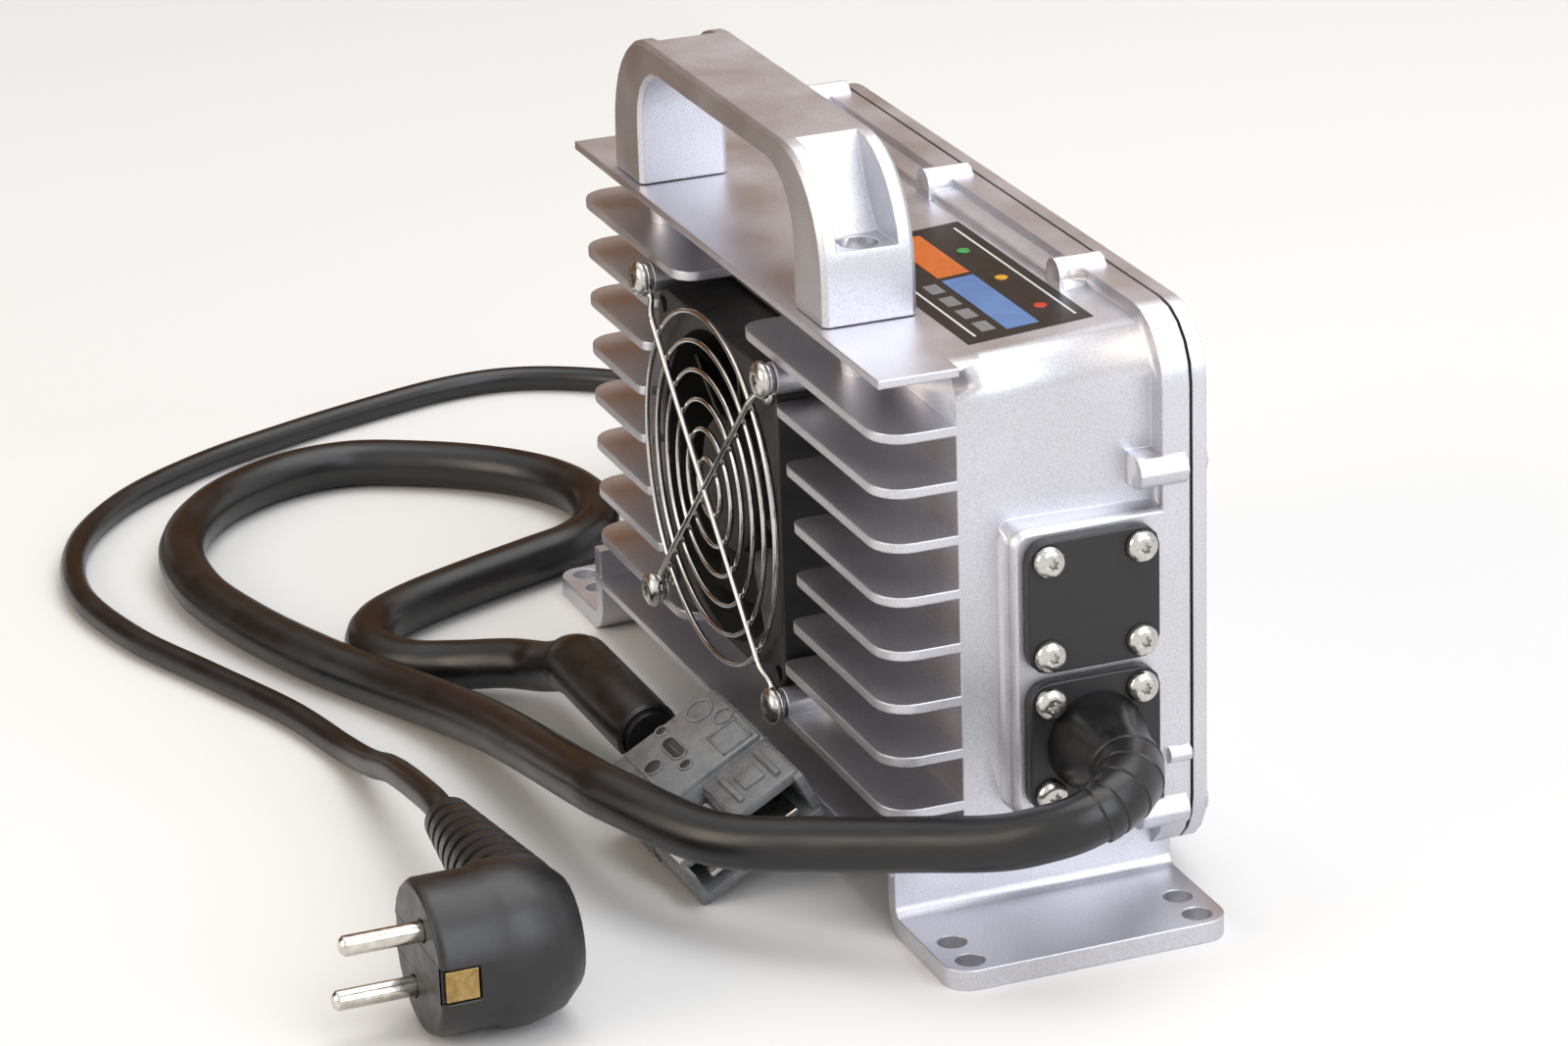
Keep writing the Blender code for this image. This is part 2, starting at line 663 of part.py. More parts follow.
def housing():
    """The die casting: drafted box, fins, flanges, feet, lugs, pads, fan pocket and bosses."""
    sections = [body_section(FIN_DEPTH), body_section(FLAT_TOP_DEPTH), body_section(BODY_DEPTH + SUNK)]
    body = finish("housing", loft_mesh(sections), cast_aluminium())

    added = [rim_mesh(), flange_mesh(TOP_HEIGHT), flange_mesh(BODY_UNDERSIDE + FLANGE_THICKNESS)]
    added += [fin_mesh(number, side) for number in range(1, FIN_COUNT + 1) for side in (-1, 1)]
    added += [foot_mesh(side) for side in (-1, 1)]
    added += [pad_mesh(side) for side in (-1, 1)]
    added += [bar_mesh(), nib_mesh(1)]
    for _, x, z in cover_screw_places():
        added.append(lug_mesh(x, z, abs(x) > BODY_HALF))
    added += standoff_meshes()
    boss_low = fin_height(1)
    for x, y in handle_screw_places():
        added.append(cylinder_mesh("Z", (x, y), HANDLE_BOSS_RADIUS, boss_low, TOP_HEIGHT - SUNK, 12))
    combine(body, "housing_added", added, "UNION")

    cavity = [body_section(FIN_DEPTH + FRONT_WALL, WALL), body_section(RIM_BACK + SUNK, WALL)]
    combine(body, "housing_cavity", [loft_mesh(cavity)], "DIFFERENCE")

    pocket_wall = rounded_rectangle(
        (FAN_OFFSET - POCKET_HALF - WALL, FAN_HEIGHT - POCKET_HALF - WALL),
        (FAN_OFFSET + POCKET_HALF + WALL, FAN_HEIGHT + POCKET_HALF + WALL),
        FAN_CORNER_RADIUS + WALL,
    )
    inner = [prism_mesh(pocket_wall, "Y", depth(FIN_DEPTH + SUNK), depth(POCKET_FLOOR + WALL))]
    for x, z in board_corners():
        inner.append(
            cylinder_mesh("Y", (x, z), BOARD_BOSS_RADIUS, depth(FIN_DEPTH + SUNK), depth(BOARD_SEAT), 10)
        )
    combine(body, "housing_inner", inner, "UNION")

    pocket = rounded_rectangle(
        (FAN_OFFSET - POCKET_HALF, FAN_HEIGHT - POCKET_HALF),
        (FAN_OFFSET + POCKET_HALF, FAN_HEIGHT + POCKET_HALF),
        FAN_CORNER_RADIUS,
    )
    cuts = [prism_mesh(pocket, "Y", depth(FIN_DEPTH - TOUCH_GAP), depth(POCKET_FLOOR))]
    combine(body, "housing_pocket", cuts, "DIFFERENCE")

    pads = []
    start = depth(FAN_BACK + TOUCH_GAP)
    for centre in fan_corners():
        pads.append(cylinder_mesh("Y", centre, GUARD_STANDOFF_RADIUS, start, depth(POCKET_FLOOR + SUNK), 12))
    combine(body, "housing_fan_pads", pads, "UNION")
    combine(body, "housing_holes", housing_holes(), "DIFFERENCE")
    return body


def housing_holes():
    """Screw holes, cable holes and the mounting holes in the feet."""
    cuts = []
    shank = SCREW_SHANK_RADIUS + SHANK_CLEARANCE
    bottom = depth(RIM_BACK - SCREW_SHANK_LENGTH)
    for _, x, z in cover_screw_places():
        cuts.append(cylinder_mesh("Y", (x, z), shank, bottom, depth(RIM_BACK + SUNK), 8))
    for x, z in guard_corners():
        end = GUARD_HEAD_Y + GUARD_SHANK_LENGTH + 2 * TOUCH_GAP
        hole = GUARD_SHANK_RADIUS + SHANK_CLEARANCE
        cuts.append(cylinder_mesh("Y", (x, z), hole, depth(-SUNK), depth(end), 10))
    for x, z in fan_screw_places():
        cuts.append(cylinder_mesh("Y", (x, z), shank, depth(FAN_BACK), depth(POCKET_FLOOR - SUNK), 10))
    for x, y in handle_screw_places():
        low = TOP_HEIGHT + HANDLE_SCREW_SEAT - HANDLE_SHANK_LENGTH - 2 * TOUCH_GAP
        hole = HANDLE_SHANK_RADIUS + SHANK_CLEARANCE
        cuts.append(cylinder_mesh("Z", (x, y), hole, low, TOP_HEIGHT + SUNK, 10))
    for side in (-1, 1):
        for height in port_heights(side):
            inside = side * (BODY_HALF - WALL - SUNK)
            outside = side * (PAD_FACE + SUNK)
            centre = (depth(PLATE_MIDDLE), height)
            cuts.append(cylinder_mesh("X", centre, PORT_HOLE_RADIUS, inside, outside, 16))
            bottom = side * (PLATE_FACE - SCREW_SHANK_LENGTH)
            for y, z in port_screws(height):
                cuts.append(cylinder_mesh("X", (y, z), shank, bottom, outside, 10))
        front = depth(FOOT_FRONT + FOOT_HOLE_INSET)
        back = depth(FOOT_FRONT + FOOT_LENGTH - FOOT_HOLE_INSET)
        for reach in FOOT_HOLE_REACH:
            for y in (front, back):
                centre = (side * (BODY_HALF + reach), y)
                cuts.append(cylinder_mesh("Z", centre, FOOT_HOLE_RADIUS, -SUNK, FOOT_THICKNESS + SUNK, 16))
    return cuts


def cover_outline(inset_x, inset_z):
    low = (-RIM_HALF + inset_x, RIM_BOTTOM + inset_z)
    high = (RIM_HALF - inset_x, RIM_TOP - inset_z)
    return rounded_rectangle(low, high, RIM_RADIUS - min(inset_x, inset_z) / 2, 5)


def rear_cover():
    """A shallow cast tray: an upright edge, then a steep slope on top and a wide one at the ends."""
    places = (
        (COVER_FRONT, 0, 0),
        (COVER_FRONT + COVER_EDGE, 0, 0),
        (COVER_BACK, COVER_END_SLOPE, COVER_SIDE_SLOPE),
    )
    loops = []
    for place, inset_x, inset_z in places:
        loops.append([on_plane(point, "Y", depth(place)) for point in cover_outline(inset_x, inset_z)])
    cover = finish("rear_cover", loft_mesh(loops), cast_aluminium())
    hollow = rounded_rectangle(
        (-BODY_HALF + WALL, BODY_UNDERSIDE + WALL), (BODY_HALF - WALL, TOP_HEIGHT - WALL), BODY_CORNER_RADIUS
    )
    floor = COVER_BACK - COVER_WALL
    combine(cover, "cover_hollow", [prism_mesh(hollow, "Y", depth(RIM_BACK), depth(floor))], "DIFFERENCE")
    pillars = []
    for x, z in board_corners():
        start = depth(BOARD_SEAT + 2 * TOUCH_GAP + BOARD_THICKNESS)
        pillars.append(cylinder_mesh("Y", (x, z), BOARD_BOSS_RADIUS, start, depth(floor + SUNK), 10))
    combine(cover, "cover_pillars", pillars, "UNION")
    cuts = []
    seat = COVER_BACK - SCREW_HEAD_HEIGHT - 2 * TOUCH_GAP
    for _, x, z in cover_screw_places():
        through = SCREW_SHANK_RADIUS + SHANK_CLEARANCE
        cuts.append(cylinder_mesh("Y", (x, z), through, depth(COVER_FRONT - SUNK), depth(COVER_BACK), 8))
        head = SCREW_HEAD_RADIUS + 2 * TOUCH_GAP
        cuts.append(cylinder_mesh("Y", (x, z), head, depth(seat), depth(COVER_BACK + SUNK), 12))
    combine(cover, "cover_screw_holes", cuts, "DIFFERENCE")


def cover_screws():
    seat = COVER_BACK - SCREW_HEAD_HEIGHT - 2 * TOUCH_GAP
    shank = SCREW_SHANK_LENGTH + seat - RIM_BACK - TOUCH_GAP
    for name, x, z in cover_screw_places():
        base = (x, depth(seat + TOUCH_GAP), z)
        screw(name, base, (0, 1, 0), SCREW_HEAD_RADIUS, SCREW_HEAD_HEIGHT, SCREW_SHANK_RADIUS, shank)


def gasket():
    """A thin rubber ring in the joint between the rim and the cover."""
    outer = cover_outline(GASKET_EDGE, GASKET_EDGE)
    inner = cover_outline(GASKET_EDGE + GASKET_WIDTH, GASKET_EDGE + GASKET_WIDTH)
    start = depth(RIM_BACK + TOUCH_GAP / 2)
    end = depth(COVER_FRONT - TOUCH_GAP / 2)
    ring = finish("cover_gasket", prism_mesh(outer, "Y", start, end), black_rubber())
    combine(ring, "gasket_opening", [prism_mesh(inner, "Y", start - SUNK, end + SUNK)], "DIFFERENCE")


def fan_screw_places():
    """The fan is held at two opposite corners."""
    corners = fan_corners()
    return [corners[0], corners[2]]


def fan_frame():
    """Square fan frame with a round duct, a motor carrier on four struts, and a bearing bore."""
    half = FAN_SIZE / 2
    outline = rounded_rectangle(
        (FAN_OFFSET - half, FAN_HEIGHT - half), (FAN_OFFSET + half, FAN_HEIGHT + half), FAN_CORNER_RADIUS
    )
    frame = finish("fan_frame", prism_mesh(outline, "Y", depth(FAN_FRONT), depth(FAN_BACK)), black_plastic())
    centre = (FAN_OFFSET, FAN_HEIGHT)
    duct = BLADE_TIP_RADIUS + BORE_CLEARANCE
    ends = (depth(FAN_FRONT - SUNK), depth(FAN_BACK + SUNK))
    cuts = [cylinder_mesh("Y", centre, duct, *ends, 40)]
    for x, z in fan_corners():
        cuts.append(cylinder_mesh("Y", (x, z), SCREW_SHANK_RADIUS + SHANK_CLEARANCE, *ends, 10))
    combine(frame, "fan_duct", cuts, "DIFFERENCE")

    carrier = FAN_BACK - 4 * SUNK
    motor = [
        (0, depth(FAN_BACK - TOUCH_GAP)),
        (HUB_RADIUS, depth(FAN_BACK - TOUCH_GAP)),
        (HUB_RADIUS, depth(carrier + TOUCH_GAP)),
        (STATOR_RADIUS, depth(carrier + TOUCH_GAP)),
        (STATOR_RADIUS, depth(FAN_FRONT + 8 * SUNK)),
        (0, depth(FAN_FRONT + 8 * SUNK)),
    ]
    parts = [turned_mesh(motor, "Y", centre, 20)]
    reach = duct + SUNK
    half = 1.5 * SUNK
    arm = [(-reach, -half), (reach, -half), (reach, half), (-reach, half)]
    for turn in (45, 135):
        spin = Matrix.Rotation(math.radians(turn), 2)
        placed = [tuple(spin @ Vector(point) + Vector(centre)) for point in arm]
        front = depth(carrier + 2 * TOUCH_GAP)
        parts.append(prism_mesh(placed, "Y", front, depth(FAN_BACK - 2 * TOUCH_GAP)))
    combine(frame, "fan_carrier", parts, "UNION")
    bearing = SHAFT_RADIUS + TOUCH_GAP
    bore = cylinder_mesh("Y", centre, bearing, depth(FAN_FRONT), depth(FAN_BACK + SUNK), 12)
    combine(frame, "fan_bearing", [bore], "DIFFERENCE")


def blade_mesh(number):
    """One swept blade: its pitch and chord change from the hub to the tip."""
    loops = []
    start = 2 * math.pi * number / BLADE_COUNT
    middle = FAN_DEPTH / 2 - SUNK
    stations = (
        (HUB_RADIUS - SUNK, 46.0, 16.0),
        (22.0 * MM, 42.0, 18.0),
        (29.5 * MM, 36.0, 21.0),
        (BLADE_TIP_RADIUS, 31.0, 24.0),
    )
    for radius, pitch, chord in stations:
        tilt = math.radians(pitch)
        half = chord * MM / 2
        loop = []
        for along, across in ((-1, 0.0), (0, 0.9), (1, 0.2), (1, -0.9), (0, -0.6), (-1, -1.0)):
            u = along * half * math.cos(tilt) - across * MM * math.sin(tilt)
            w = along * half * math.sin(tilt) + across * MM * math.cos(tilt)
            angle = start + u / radius
            loop.append((radius * math.cos(angle), middle + w, radius * math.sin(angle)))
        loops.append(loop)
    return loft_mesh(loops)


def fan_rotor():
    """Hub cup with its shaft and blades; its origin is on the axis, at the front face of the fan."""
    front = 1.5 * SUNK
    back = FAN_DEPTH - 4.5 * SUNK
    inner = HUB_RADIUS - HUB_WALL
    shaft_end = FAN_DEPTH - 2 * SUNK
    cup = [
        (0, front),
        (HUB_RADIUS - SUNK, front),
        (HUB_RADIUS, front + SUNK),
        (HUB_RADIUS, back),
        (inner, back),
        (inner, front + HUB_WALL),
        (SHAFT_RADIUS, front + HUB_WALL),
        (SHAFT_RADIUS, shaft_end),
        (0, shaft_end),
    ]
    rotor = finish("fan_rotor", turned_mesh(cup, "Y", (0, 0), 24), black_plastic())
    combine(rotor, "rotor_blades", [blade_mesh(number) for number in range(BLADE_COUNT)], "UNION")
    centre = (FAN_OFFSET, depth(FAN_FRONT), FAN_HEIGHT)
    rotor.location = centre
    for helper in bpy.data.collections["rotor_blades"].objects:
        helper.location = centre


def fan_guard():
    """Wire guard: six rings welded behind two crossed struts, whose cranked ends loop round the screws."""
    centre = Vector((FAN_OFFSET, 0, FAN_HEIGHT))
    strut_y = depth(GUARD_LOOP_Y - GUARD_RISE)
    ring_y = strut_y + STRUT_RADIUS + GUARD_WIRE_RADIUS - 0.5 * TOUCH_GAP
    wires = []
    for number in range(1, GUARD_RING_COUNT + 1):
        radius = GUARD_RADIUS * number / GUARD_RING_COUNT
        steps = 10 + 3 * number
        circle = arc((FAN_OFFSET, FAN_HEIGHT), radius, 4.0, 364.0 - 360.0 / steps, steps - 1)
        points = [on_plane(point, "Y", ring_y) for point in circle]
        wires.append(tube_mesh(points, GUARD_WIRE_RADIUS, 4, closed=True))
    reach = GUARD_PITCH / math.sqrt(2)
    for slope in (1, -1):
        along = Vector((1, 0, slope)).normalized()
        places = (
            (-reach + GUARD_LOOP_RADIUS, GUARD_LOOP_Y),
            (-reach + 3.2 * GUARD_LOOP_RADIUS, GUARD_LOOP_Y - GUARD_RISE),
            (reach - 3.2 * GUARD_LOOP_RADIUS, GUARD_LOOP_Y - GUARD_RISE),
            (reach - GUARD_LOOP_RADIUS, GUARD_LOOP_Y),
        )
        points = []
        for place, y in places:
            point = centre + along * place
            points.append((point.x, depth(y), point.z))
        wires.append(tube_mesh(points, STRUT_RADIUS, 6))
    for x, z in guard_corners():
        circle = arc((x, z), GUARD_LOOP_RADIUS, 10.0, 334.0, 9)
        points = [on_plane(point, "Y", depth(GUARD_LOOP_Y)) for point in circle]
        wires.append(tube_mesh(points, STRUT_RADIUS, 4, closed=True))
    guard = finish("fan_guard", wires[0], steel())
    combine(guard, "guard_wires", wires[1:], "UNION")


def guard_screws():
    for number, (x, z) in enumerate(guard_corners(), 1):
        base = (x, depth(GUARD_HEAD_Y), z)
        screw(
            f"guard_screw_{number}", base, (0, -1, 0), GUARD_HEAD_RADIUS, GUARD_HEAD_HEIGHT,
            GUARD_SHANK_RADIUS, GUARD_SHANK_LENGTH,
        )


def fan_screws():
    length = FAN_DEPTH + 0.6 * FAN_POCKET_DEPTH
    for number, (x, z) in enumerate(fan_screw_places(), 1):
        base = (x, depth(FAN_FRONT - TOUCH_GAP), z)
        screw(
            f"fan_screw_{number}", base, (0, -1, 0), FAN_HEAD_RADIUS, FAN_HEAD_HEIGHT,
            SCREW_SHANK_RADIUS, length,
        )


def handle_outline(inset):
    """The handle's arch seen from the front; the inset shrinks the section for the chamfered edges."""
    outer = HANDLE_HALF - inset
    top = HANDLE_HEIGHT - inset
    inner = HANDLE_OPENING_HALF + inset
    under = HANDLE_HEIGHT - HANDLE_GRIP + inset
    wide = HANDLE_SHOULDER[0] - inset
    high = HANDLE_SHOULDER[1] - inset
    round_in = HANDLE_INNER_RADIUS + inset
    shoulder = [(wide * u, high * v) for u, v in arc((0, 0), 1.0, 0, 90, 8)]
    outline = [(outer, 0)]
    outline += [(outer - wide + u, top - high + v) for u, v in shoulder]
    outline += [(-outer + wide - u, top - high + v) for u, v in reversed(shoulder)]
    outline += [(-outer, 0), (-inner, 0)]
    outline += arc((-inner + round_in, under - round_in), round_in, 180, 90, 5)
    outline += arc((inner - round_in, under - round_in), round_in, 90, 0, 5)
    outline += [(inner, 0)]
    foot = TOP_HEIGHT + TOUCH_GAP
    return [(HANDLE_OFFSET + x, foot + z) for x, z in outline]


def handle_pocket(side):
    """A pocket open to the top and outer side of a leg, with a flat floor."""
    back = HANDLE_HALF - HANDLE_POCKET_BACK
    floor = HANDLE_POCKET_FLOOR
    rise = HANDLE_HEIGHT - floor
    past = HANDLE_HALF + 5 * SUNK
    outline = [
        (back, floor),
        (past, floor),
        (past, floor + 1.4 * rise),
        (back - 0.62 * rise, floor + 1.4 * rise),
        (back - 0.54 * rise, floor + rise),
        (back - 0.34 * rise, floor + 0.5 * rise),
        (back - 0.12 * rise, floor + 0.14 * rise),
    ]
    foot = TOP_HEIGHT + TOUCH_GAP
    placed = [(HANDLE_OFFSET + side * x, foot + z) for x, z in outline]
    front = HANDLE_FRONT + HANDLE_POCKET_SIDE
    back_wall = HANDLE_FRONT + HANDLE_WIDTH - HANDLE_POCKET_SIDE
    return prism_mesh(placed, "Y", depth(front), depth(back_wall))


def handle():
    sections = (
        (HANDLE_FRONT, HANDLE_CHAMFER),
        (HANDLE_FRONT + HANDLE_CHAMFER, 0),
        (HANDLE_FRONT + HANDLE_WIDTH - HANDLE_CHAMFER, 0),
        (HANDLE_FRONT + HANDLE_WIDTH, HANDLE_CHAMFER),
    )
    loops = []
    for place, inset in sections:
        loops.append([on_plane(point, "Y", depth(place)) for point in handle_outline(inset)])
    grip = finish("handle", loft_mesh(loops), cast_aluminium())
    cuts = [handle_pocket(side) for side in (-1, 1)]
    seat = TOP_HEIGHT + TOUCH_GAP + HANDLE_SCREW_SEAT
    floor = TOP_HEIGHT + TOUCH_GAP + HANDLE_POCKET_FLOOR
    for centre in handle_screw_places():
        hole = HANDLE_SHANK_RADIUS + SHANK_CLEARANCE
        cuts.append(cylinder_mesh("Z", centre, hole, TOP_HEIGHT - SUNK, floor, 12))
        cuts.append(cylinder_mesh("Z", centre, HANDLE_HEAD_RADIUS + TOUCH_GAP, seat, floor + SUNK, 14))
    combine(grip, "handle_cuts", cuts, "DIFFERENCE")
    for number, (x, y) in enumerate(handle_screw_places(), 1):
        base = (x, y, seat + TOUCH_GAP)
        screw(
            f"handle_screw_{number}", base, (0, 0, 1), HANDLE_HEAD_RADIUS, HANDLE_HEAD_HEIGHT,
            HANDLE_SHANK_RADIUS, HANDLE_SHANK_LENGTH,
        )


def boot_mesh(side, height, base_radius, cable_radius, length):
    """The moulded boot on a plate, which tapers down to the cable."""
    start = side * (PLATE_FACE - SUNK)
    shoulder = side * (PLATE_FACE + 0.45 * length)
    end = side * (PLATE_FACE + length)
    neck = cable_radius + BOOT_WALL
    profile = [(0, start), (base_radius, start), (0.92 * base_radius, shoulder), (neck, end), (0, end)]
    return turned_mesh(profile, "X", (depth(PLATE_MIDDLE), height), 20)


def connection_plate(name, side, height, boot=None):
    """A square cover plate held by four screws; a plate with a boot lets a cable out."""
    middle = depth(PLATE_MIDDLE)
    low = (middle - PLATE_DEPTH / 2, height - PLATE_HEIGHT / 2)
    high = (middle + PLATE_DEPTH / 2, height + PLATE_HEIGHT / 2)
    outline = rounded_rectangle(low, high, PLATE_RADIUS, 3)
    inner_face = side * (PAD_FACE + TOUCH_GAP)
    plate = finish(name, prism_mesh(outline, "X", inner_face, side * PLATE_FACE), black_plastic())
    if boot:
        combine(plate, f"{name}_boot", [boot_mesh(side, height, *boot)], "UNION")
    cuts = []
    for y, z in port_screws(height):
        hole = SCREW_SHANK_RADIUS + SHANK_CLEARANCE
        ends = (inner_face - side * SUNK, side * (PLATE_FACE + SUNK))
        cuts.append(cylinder_mesh("X", (y, z), hole, *ends, 10))
    combine(plate, f"{name}_holes", cuts, "DIFFERENCE")
    for number, (y, z) in enumerate(port_screws(height), 1):
        base = (side * (PLATE_FACE + TOUCH_GAP), y, z)
        screw(
            f"{name}_screw_{number}", base, (side, 0, 0), SCREW_HEAD_RADIUS, SCREW_HEAD_HEIGHT,
            SCREW_SHANK_RADIUS, SCREW_SHANK_LENGTH,
        )


def connection_plates():
    lower, upper = port_heights(1)
    output_boot = (OUTPUT_BOOT_RADIUS, OUTPUT_DIAMETER / 2, OUTPUT_BOOT_LENGTH)
    input_boot = (INPUT_BOOT_RADIUS, MAINS_DIAMETER / 2, INPUT_BOOT_LENGTH)
    connection_plate("output_plate", 1, lower, output_boot)
    connection_plate("signal_plate", 1, upper)
    connection_plate("input_plate", -1, lower, input_boot)


def electronics():
    """Circuit board on the housing's bosses, with its tall parts towards the finned wall."""
    middle = (TOP_HEIGHT + BODY_UNDERSIDE) / 2
    front = BOARD_SEAT + TOUCH_GAP
    half_length = BOARD_LENGTH / 2
    half_height = BOARD_HEIGHT / 2
    low = (-half_length, middle - half_height)
    high = (half_length, middle + half_height)
    outline = rounded_rectangle(low, high, 2 * MM, 2)
    green = material("board_laminate", (0.02, 0.12, 0.05), 0.45)
    board = prism_mesh(outline, "Y", depth(front), depth(front + BOARD_THICKNESS))
    finish("circuit_board", board, green)
    seat = BOARD_SEAT
    width, thick, tall = TRANSFORMER_SIZE
    core_x = half_length - BOARD_BOSS_INSET * 2 - width / 2 + SUNK
    core_z = middle + half_height - 12 * MM - tall / 2
    low = (core_x - width / 2, core_z - tall / 2)
    high = (core_x + width / 2, core_z + tall / 2)
    core = prism_mesh(rounded_rectangle(low, high, 2 * MM, 2), "Y", depth(seat - thick), depth(seat))
    finish("transformer", core, material("ferrite", (0.09, 0.08, 0.08), 0.6))
    aluminium_can = material("capacitor_sleeve", (0.03, 0.05, 0.16), 0.35)
    for number, lift in enumerate((-1, 1), 1):
        centre = (-half_length + 22 * MM, middle + lift * (CAPACITOR_RADIUS + SUNK))
        can = [
            (0, depth(seat)),
            (CAPACITOR_RADIUS, depth(seat)),
            (CAPACITOR_RADIUS, depth(seat - CAPACITOR_LENGTH + SUNK)),
            (CAPACITOR_RADIUS - SUNK, depth(seat - CAPACITOR_LENGTH)),
            (0, depth(seat - CAPACITOR_LENGTH)),
        ]
        finish(f"capacitor_{number}", turned_mesh(can, "Y", centre, 16), aluminium_can)
    centre = (core_x, core_z - tall / 2 - INDUCTOR_RADIUS - 4 * SUNK)
    start = depth(seat)
    end = depth(seat - INDUCTOR_DEPTH)
    ring = cylinder_mesh("Y", centre, INDUCTOR_RADIUS, start, end, 20)
    inductor = finish("inductor", ring, material("copper_winding", (0.55, 0.24, 0.08), 0.4, 0.8))
    hole = cylinder_mesh("Y", centre, INDUCTOR_BORE_RADIUS, start + SUNK, end - SUNK, 16)
    combine(inductor, "inductor_bore", [hole], "DIFFERENCE")


def smooth_route(points, spacing):
    """Points about this far apart on one smooth curve through the route's own points."""
    given = [Vector(point) for point in points]
    first = given[0] * 2 - given[1]
    last = given[-1] * 2 - given[-2]
    padded = [first] + given + [last]
    fine = []
    for p0, p1, p2, p3 in zip(padded, padded[1:], padded[2:], padded[3:]):
        for step in range(12):
            t = step / 12
            fine.append(
                0.5 * ((2 * p1) + (p2 - p0) * t + (2 * p0 - 5 * p1 + 4 * p2 - p3) * t**2
                       + (3 * p1 - p0 - 3 * p2 + p3) * t**3)
            )
    fine.append(given[-1])
    total = sum((b - a).length for a, b in zip(fine, fine[1:]))
    count = max(2, round(total / spacing))
    step = total / count
    chosen = [fine[0]]
    run = 0.0
    for a, b in zip(fine, fine[1:]):
        length = (b - a).length
        while run + length >= step * len(chosen) and len(chosen) < count:
            chosen.append(a.lerp(b, (step * len(chosen) - run) / length))
        run += length
    chosen.append(fine[-1])
    return chosen


def cord_tube(name, points, diameter, spacing, resolution):
    """A cable as a poly curve with a round bevel and filled ends."""
    curve = bpy.data.curves.new(name, "CURVE")
    curve.dimensions = "3D"
    curve.bevel_depth = diameter / 2
    curve.bevel_resolution = resolution
    curve.use_fill_caps = True
    spline = curve.splines.new("POLY")
    chosen = smooth_route(points, spacing)
    into = (Vector(points[1]) - Vector(points[0])).normalized()
    back = (Vector(points[-2]) - Vector(points[-1])).normalized()
    chosen.insert(1, chosen[0] + 0.4 * diameter * into)
    chosen.insert(-1, chosen[-1] + 0.4 * diameter * back)
    spline.points.add(len(chosen) - 1)
    for place, point in zip(spline.points, chosen):
        place.co = (*point, 1.0)
    curve.materials.append(black_rubber())
    tube = bpy.data.objects.new(name, curve)
    bpy.context.scene.collection.objects.link(tube)
    return tube


def in_metres(route):
    return [tuple(value * MM for value in point) for point in route]


def connector_pose():
    roll = Matrix.Rotation(math.radians(CONNECTOR_ROLL), 4, "X")
    pitch = Matrix.Rotation(math.radians(CONNECTOR_PITCH), 4, "Y")
    yaw = Matrix.Rotation(math.radians(CONNECTOR_YAW), 4, "Z")
    return Matrix.Translation(CONNECTOR_CENTRE) @ yaw @ pitch @ roll


def block_mesh(low, high):
    outline = [(low[0], low[1]), (high[0], low[1]), (high[0], high[1]), (low[0], high[1])]
    return prism_mesh(outline, "Z", low[2], high[2])


def connector():
    """Two-pole battery connector, lying on the ground and leaning on the fins."""
    half_l = CONNECTOR_LENGTH / 2
    half_w = CONNECTOR_WIDTH / 2
    half_h = CONNECTOR_HEIGHT / 2
    pose = connector_pose()
    outline = rounded_rectangle((-half_l, -half_w), (half_l, half_w), 2 * MM, 2)
    grey = material("connector_plastic", (0.30, 0.30, 0.31), 0.5)
    loops = []
    for place, inset in ((-half_h, MM), (-half_h + MM, 0), (half_h - MM, 0), (half_h, MM)):
        scale_x = (half_l - inset) / half_l
        scale_y = (half_w - inset) / half_w
        loops.append([(x * scale_x, y * scale_y, place) for x, y in outline])
    shell = finish("connector_housing", loft_mesh(loops), grey)
    mouth = 0.42 * CONNECTOR_LENGTH
    chamber = 0.36 * CONNECTOR_WIDTH
    cuts = []
    for side in (-1, 1):
        middle = side * 0.235 * CONNECTOR_WIDTH
        low = (half_l - mouth, middle - chamber / 2, CHAMBER_FLOOR * half_h)
        high = (half_l + SUNK, middle + chamber / 2, CHAMBER_TOP * half_h)
        cuts.append(block_mesh(low, high))
    step_low = (half_l - 0.45 * mouth, -half_w + 3 * MM, -0.05 * half_h)
    step_high = (half_l + SUNK, half_w - 3 * MM, half_h + SUNK)
    cuts.append(block_mesh(step_low, step_high))
    combine(shell, "connector_cuts", cuts, "DIFFERENCE")
    shell.matrix_world = pose
    for helper in bpy.data.collections["connector_cuts"].objects:
        helper.matrix_world = pose
    for number, side in enumerate((-1, 1), 1):
        middle = side * 0.235 * CONNECTOR_WIDTH
        floor = CHAMBER_FLOOR * half_h + TOUCH_GAP
        low = (half_l - mouth + TOUCH_GAP, middle - 0.32 * chamber, floor)
        high = (half_l - 2 * MM, middle + 0.32 * chamber, floor + CONTACT_THICKNESS)
        contact = finish(f"connector_contact_{number}", block_mesh(low, high), steel())
        contact.matrix_world = pose
    return pose


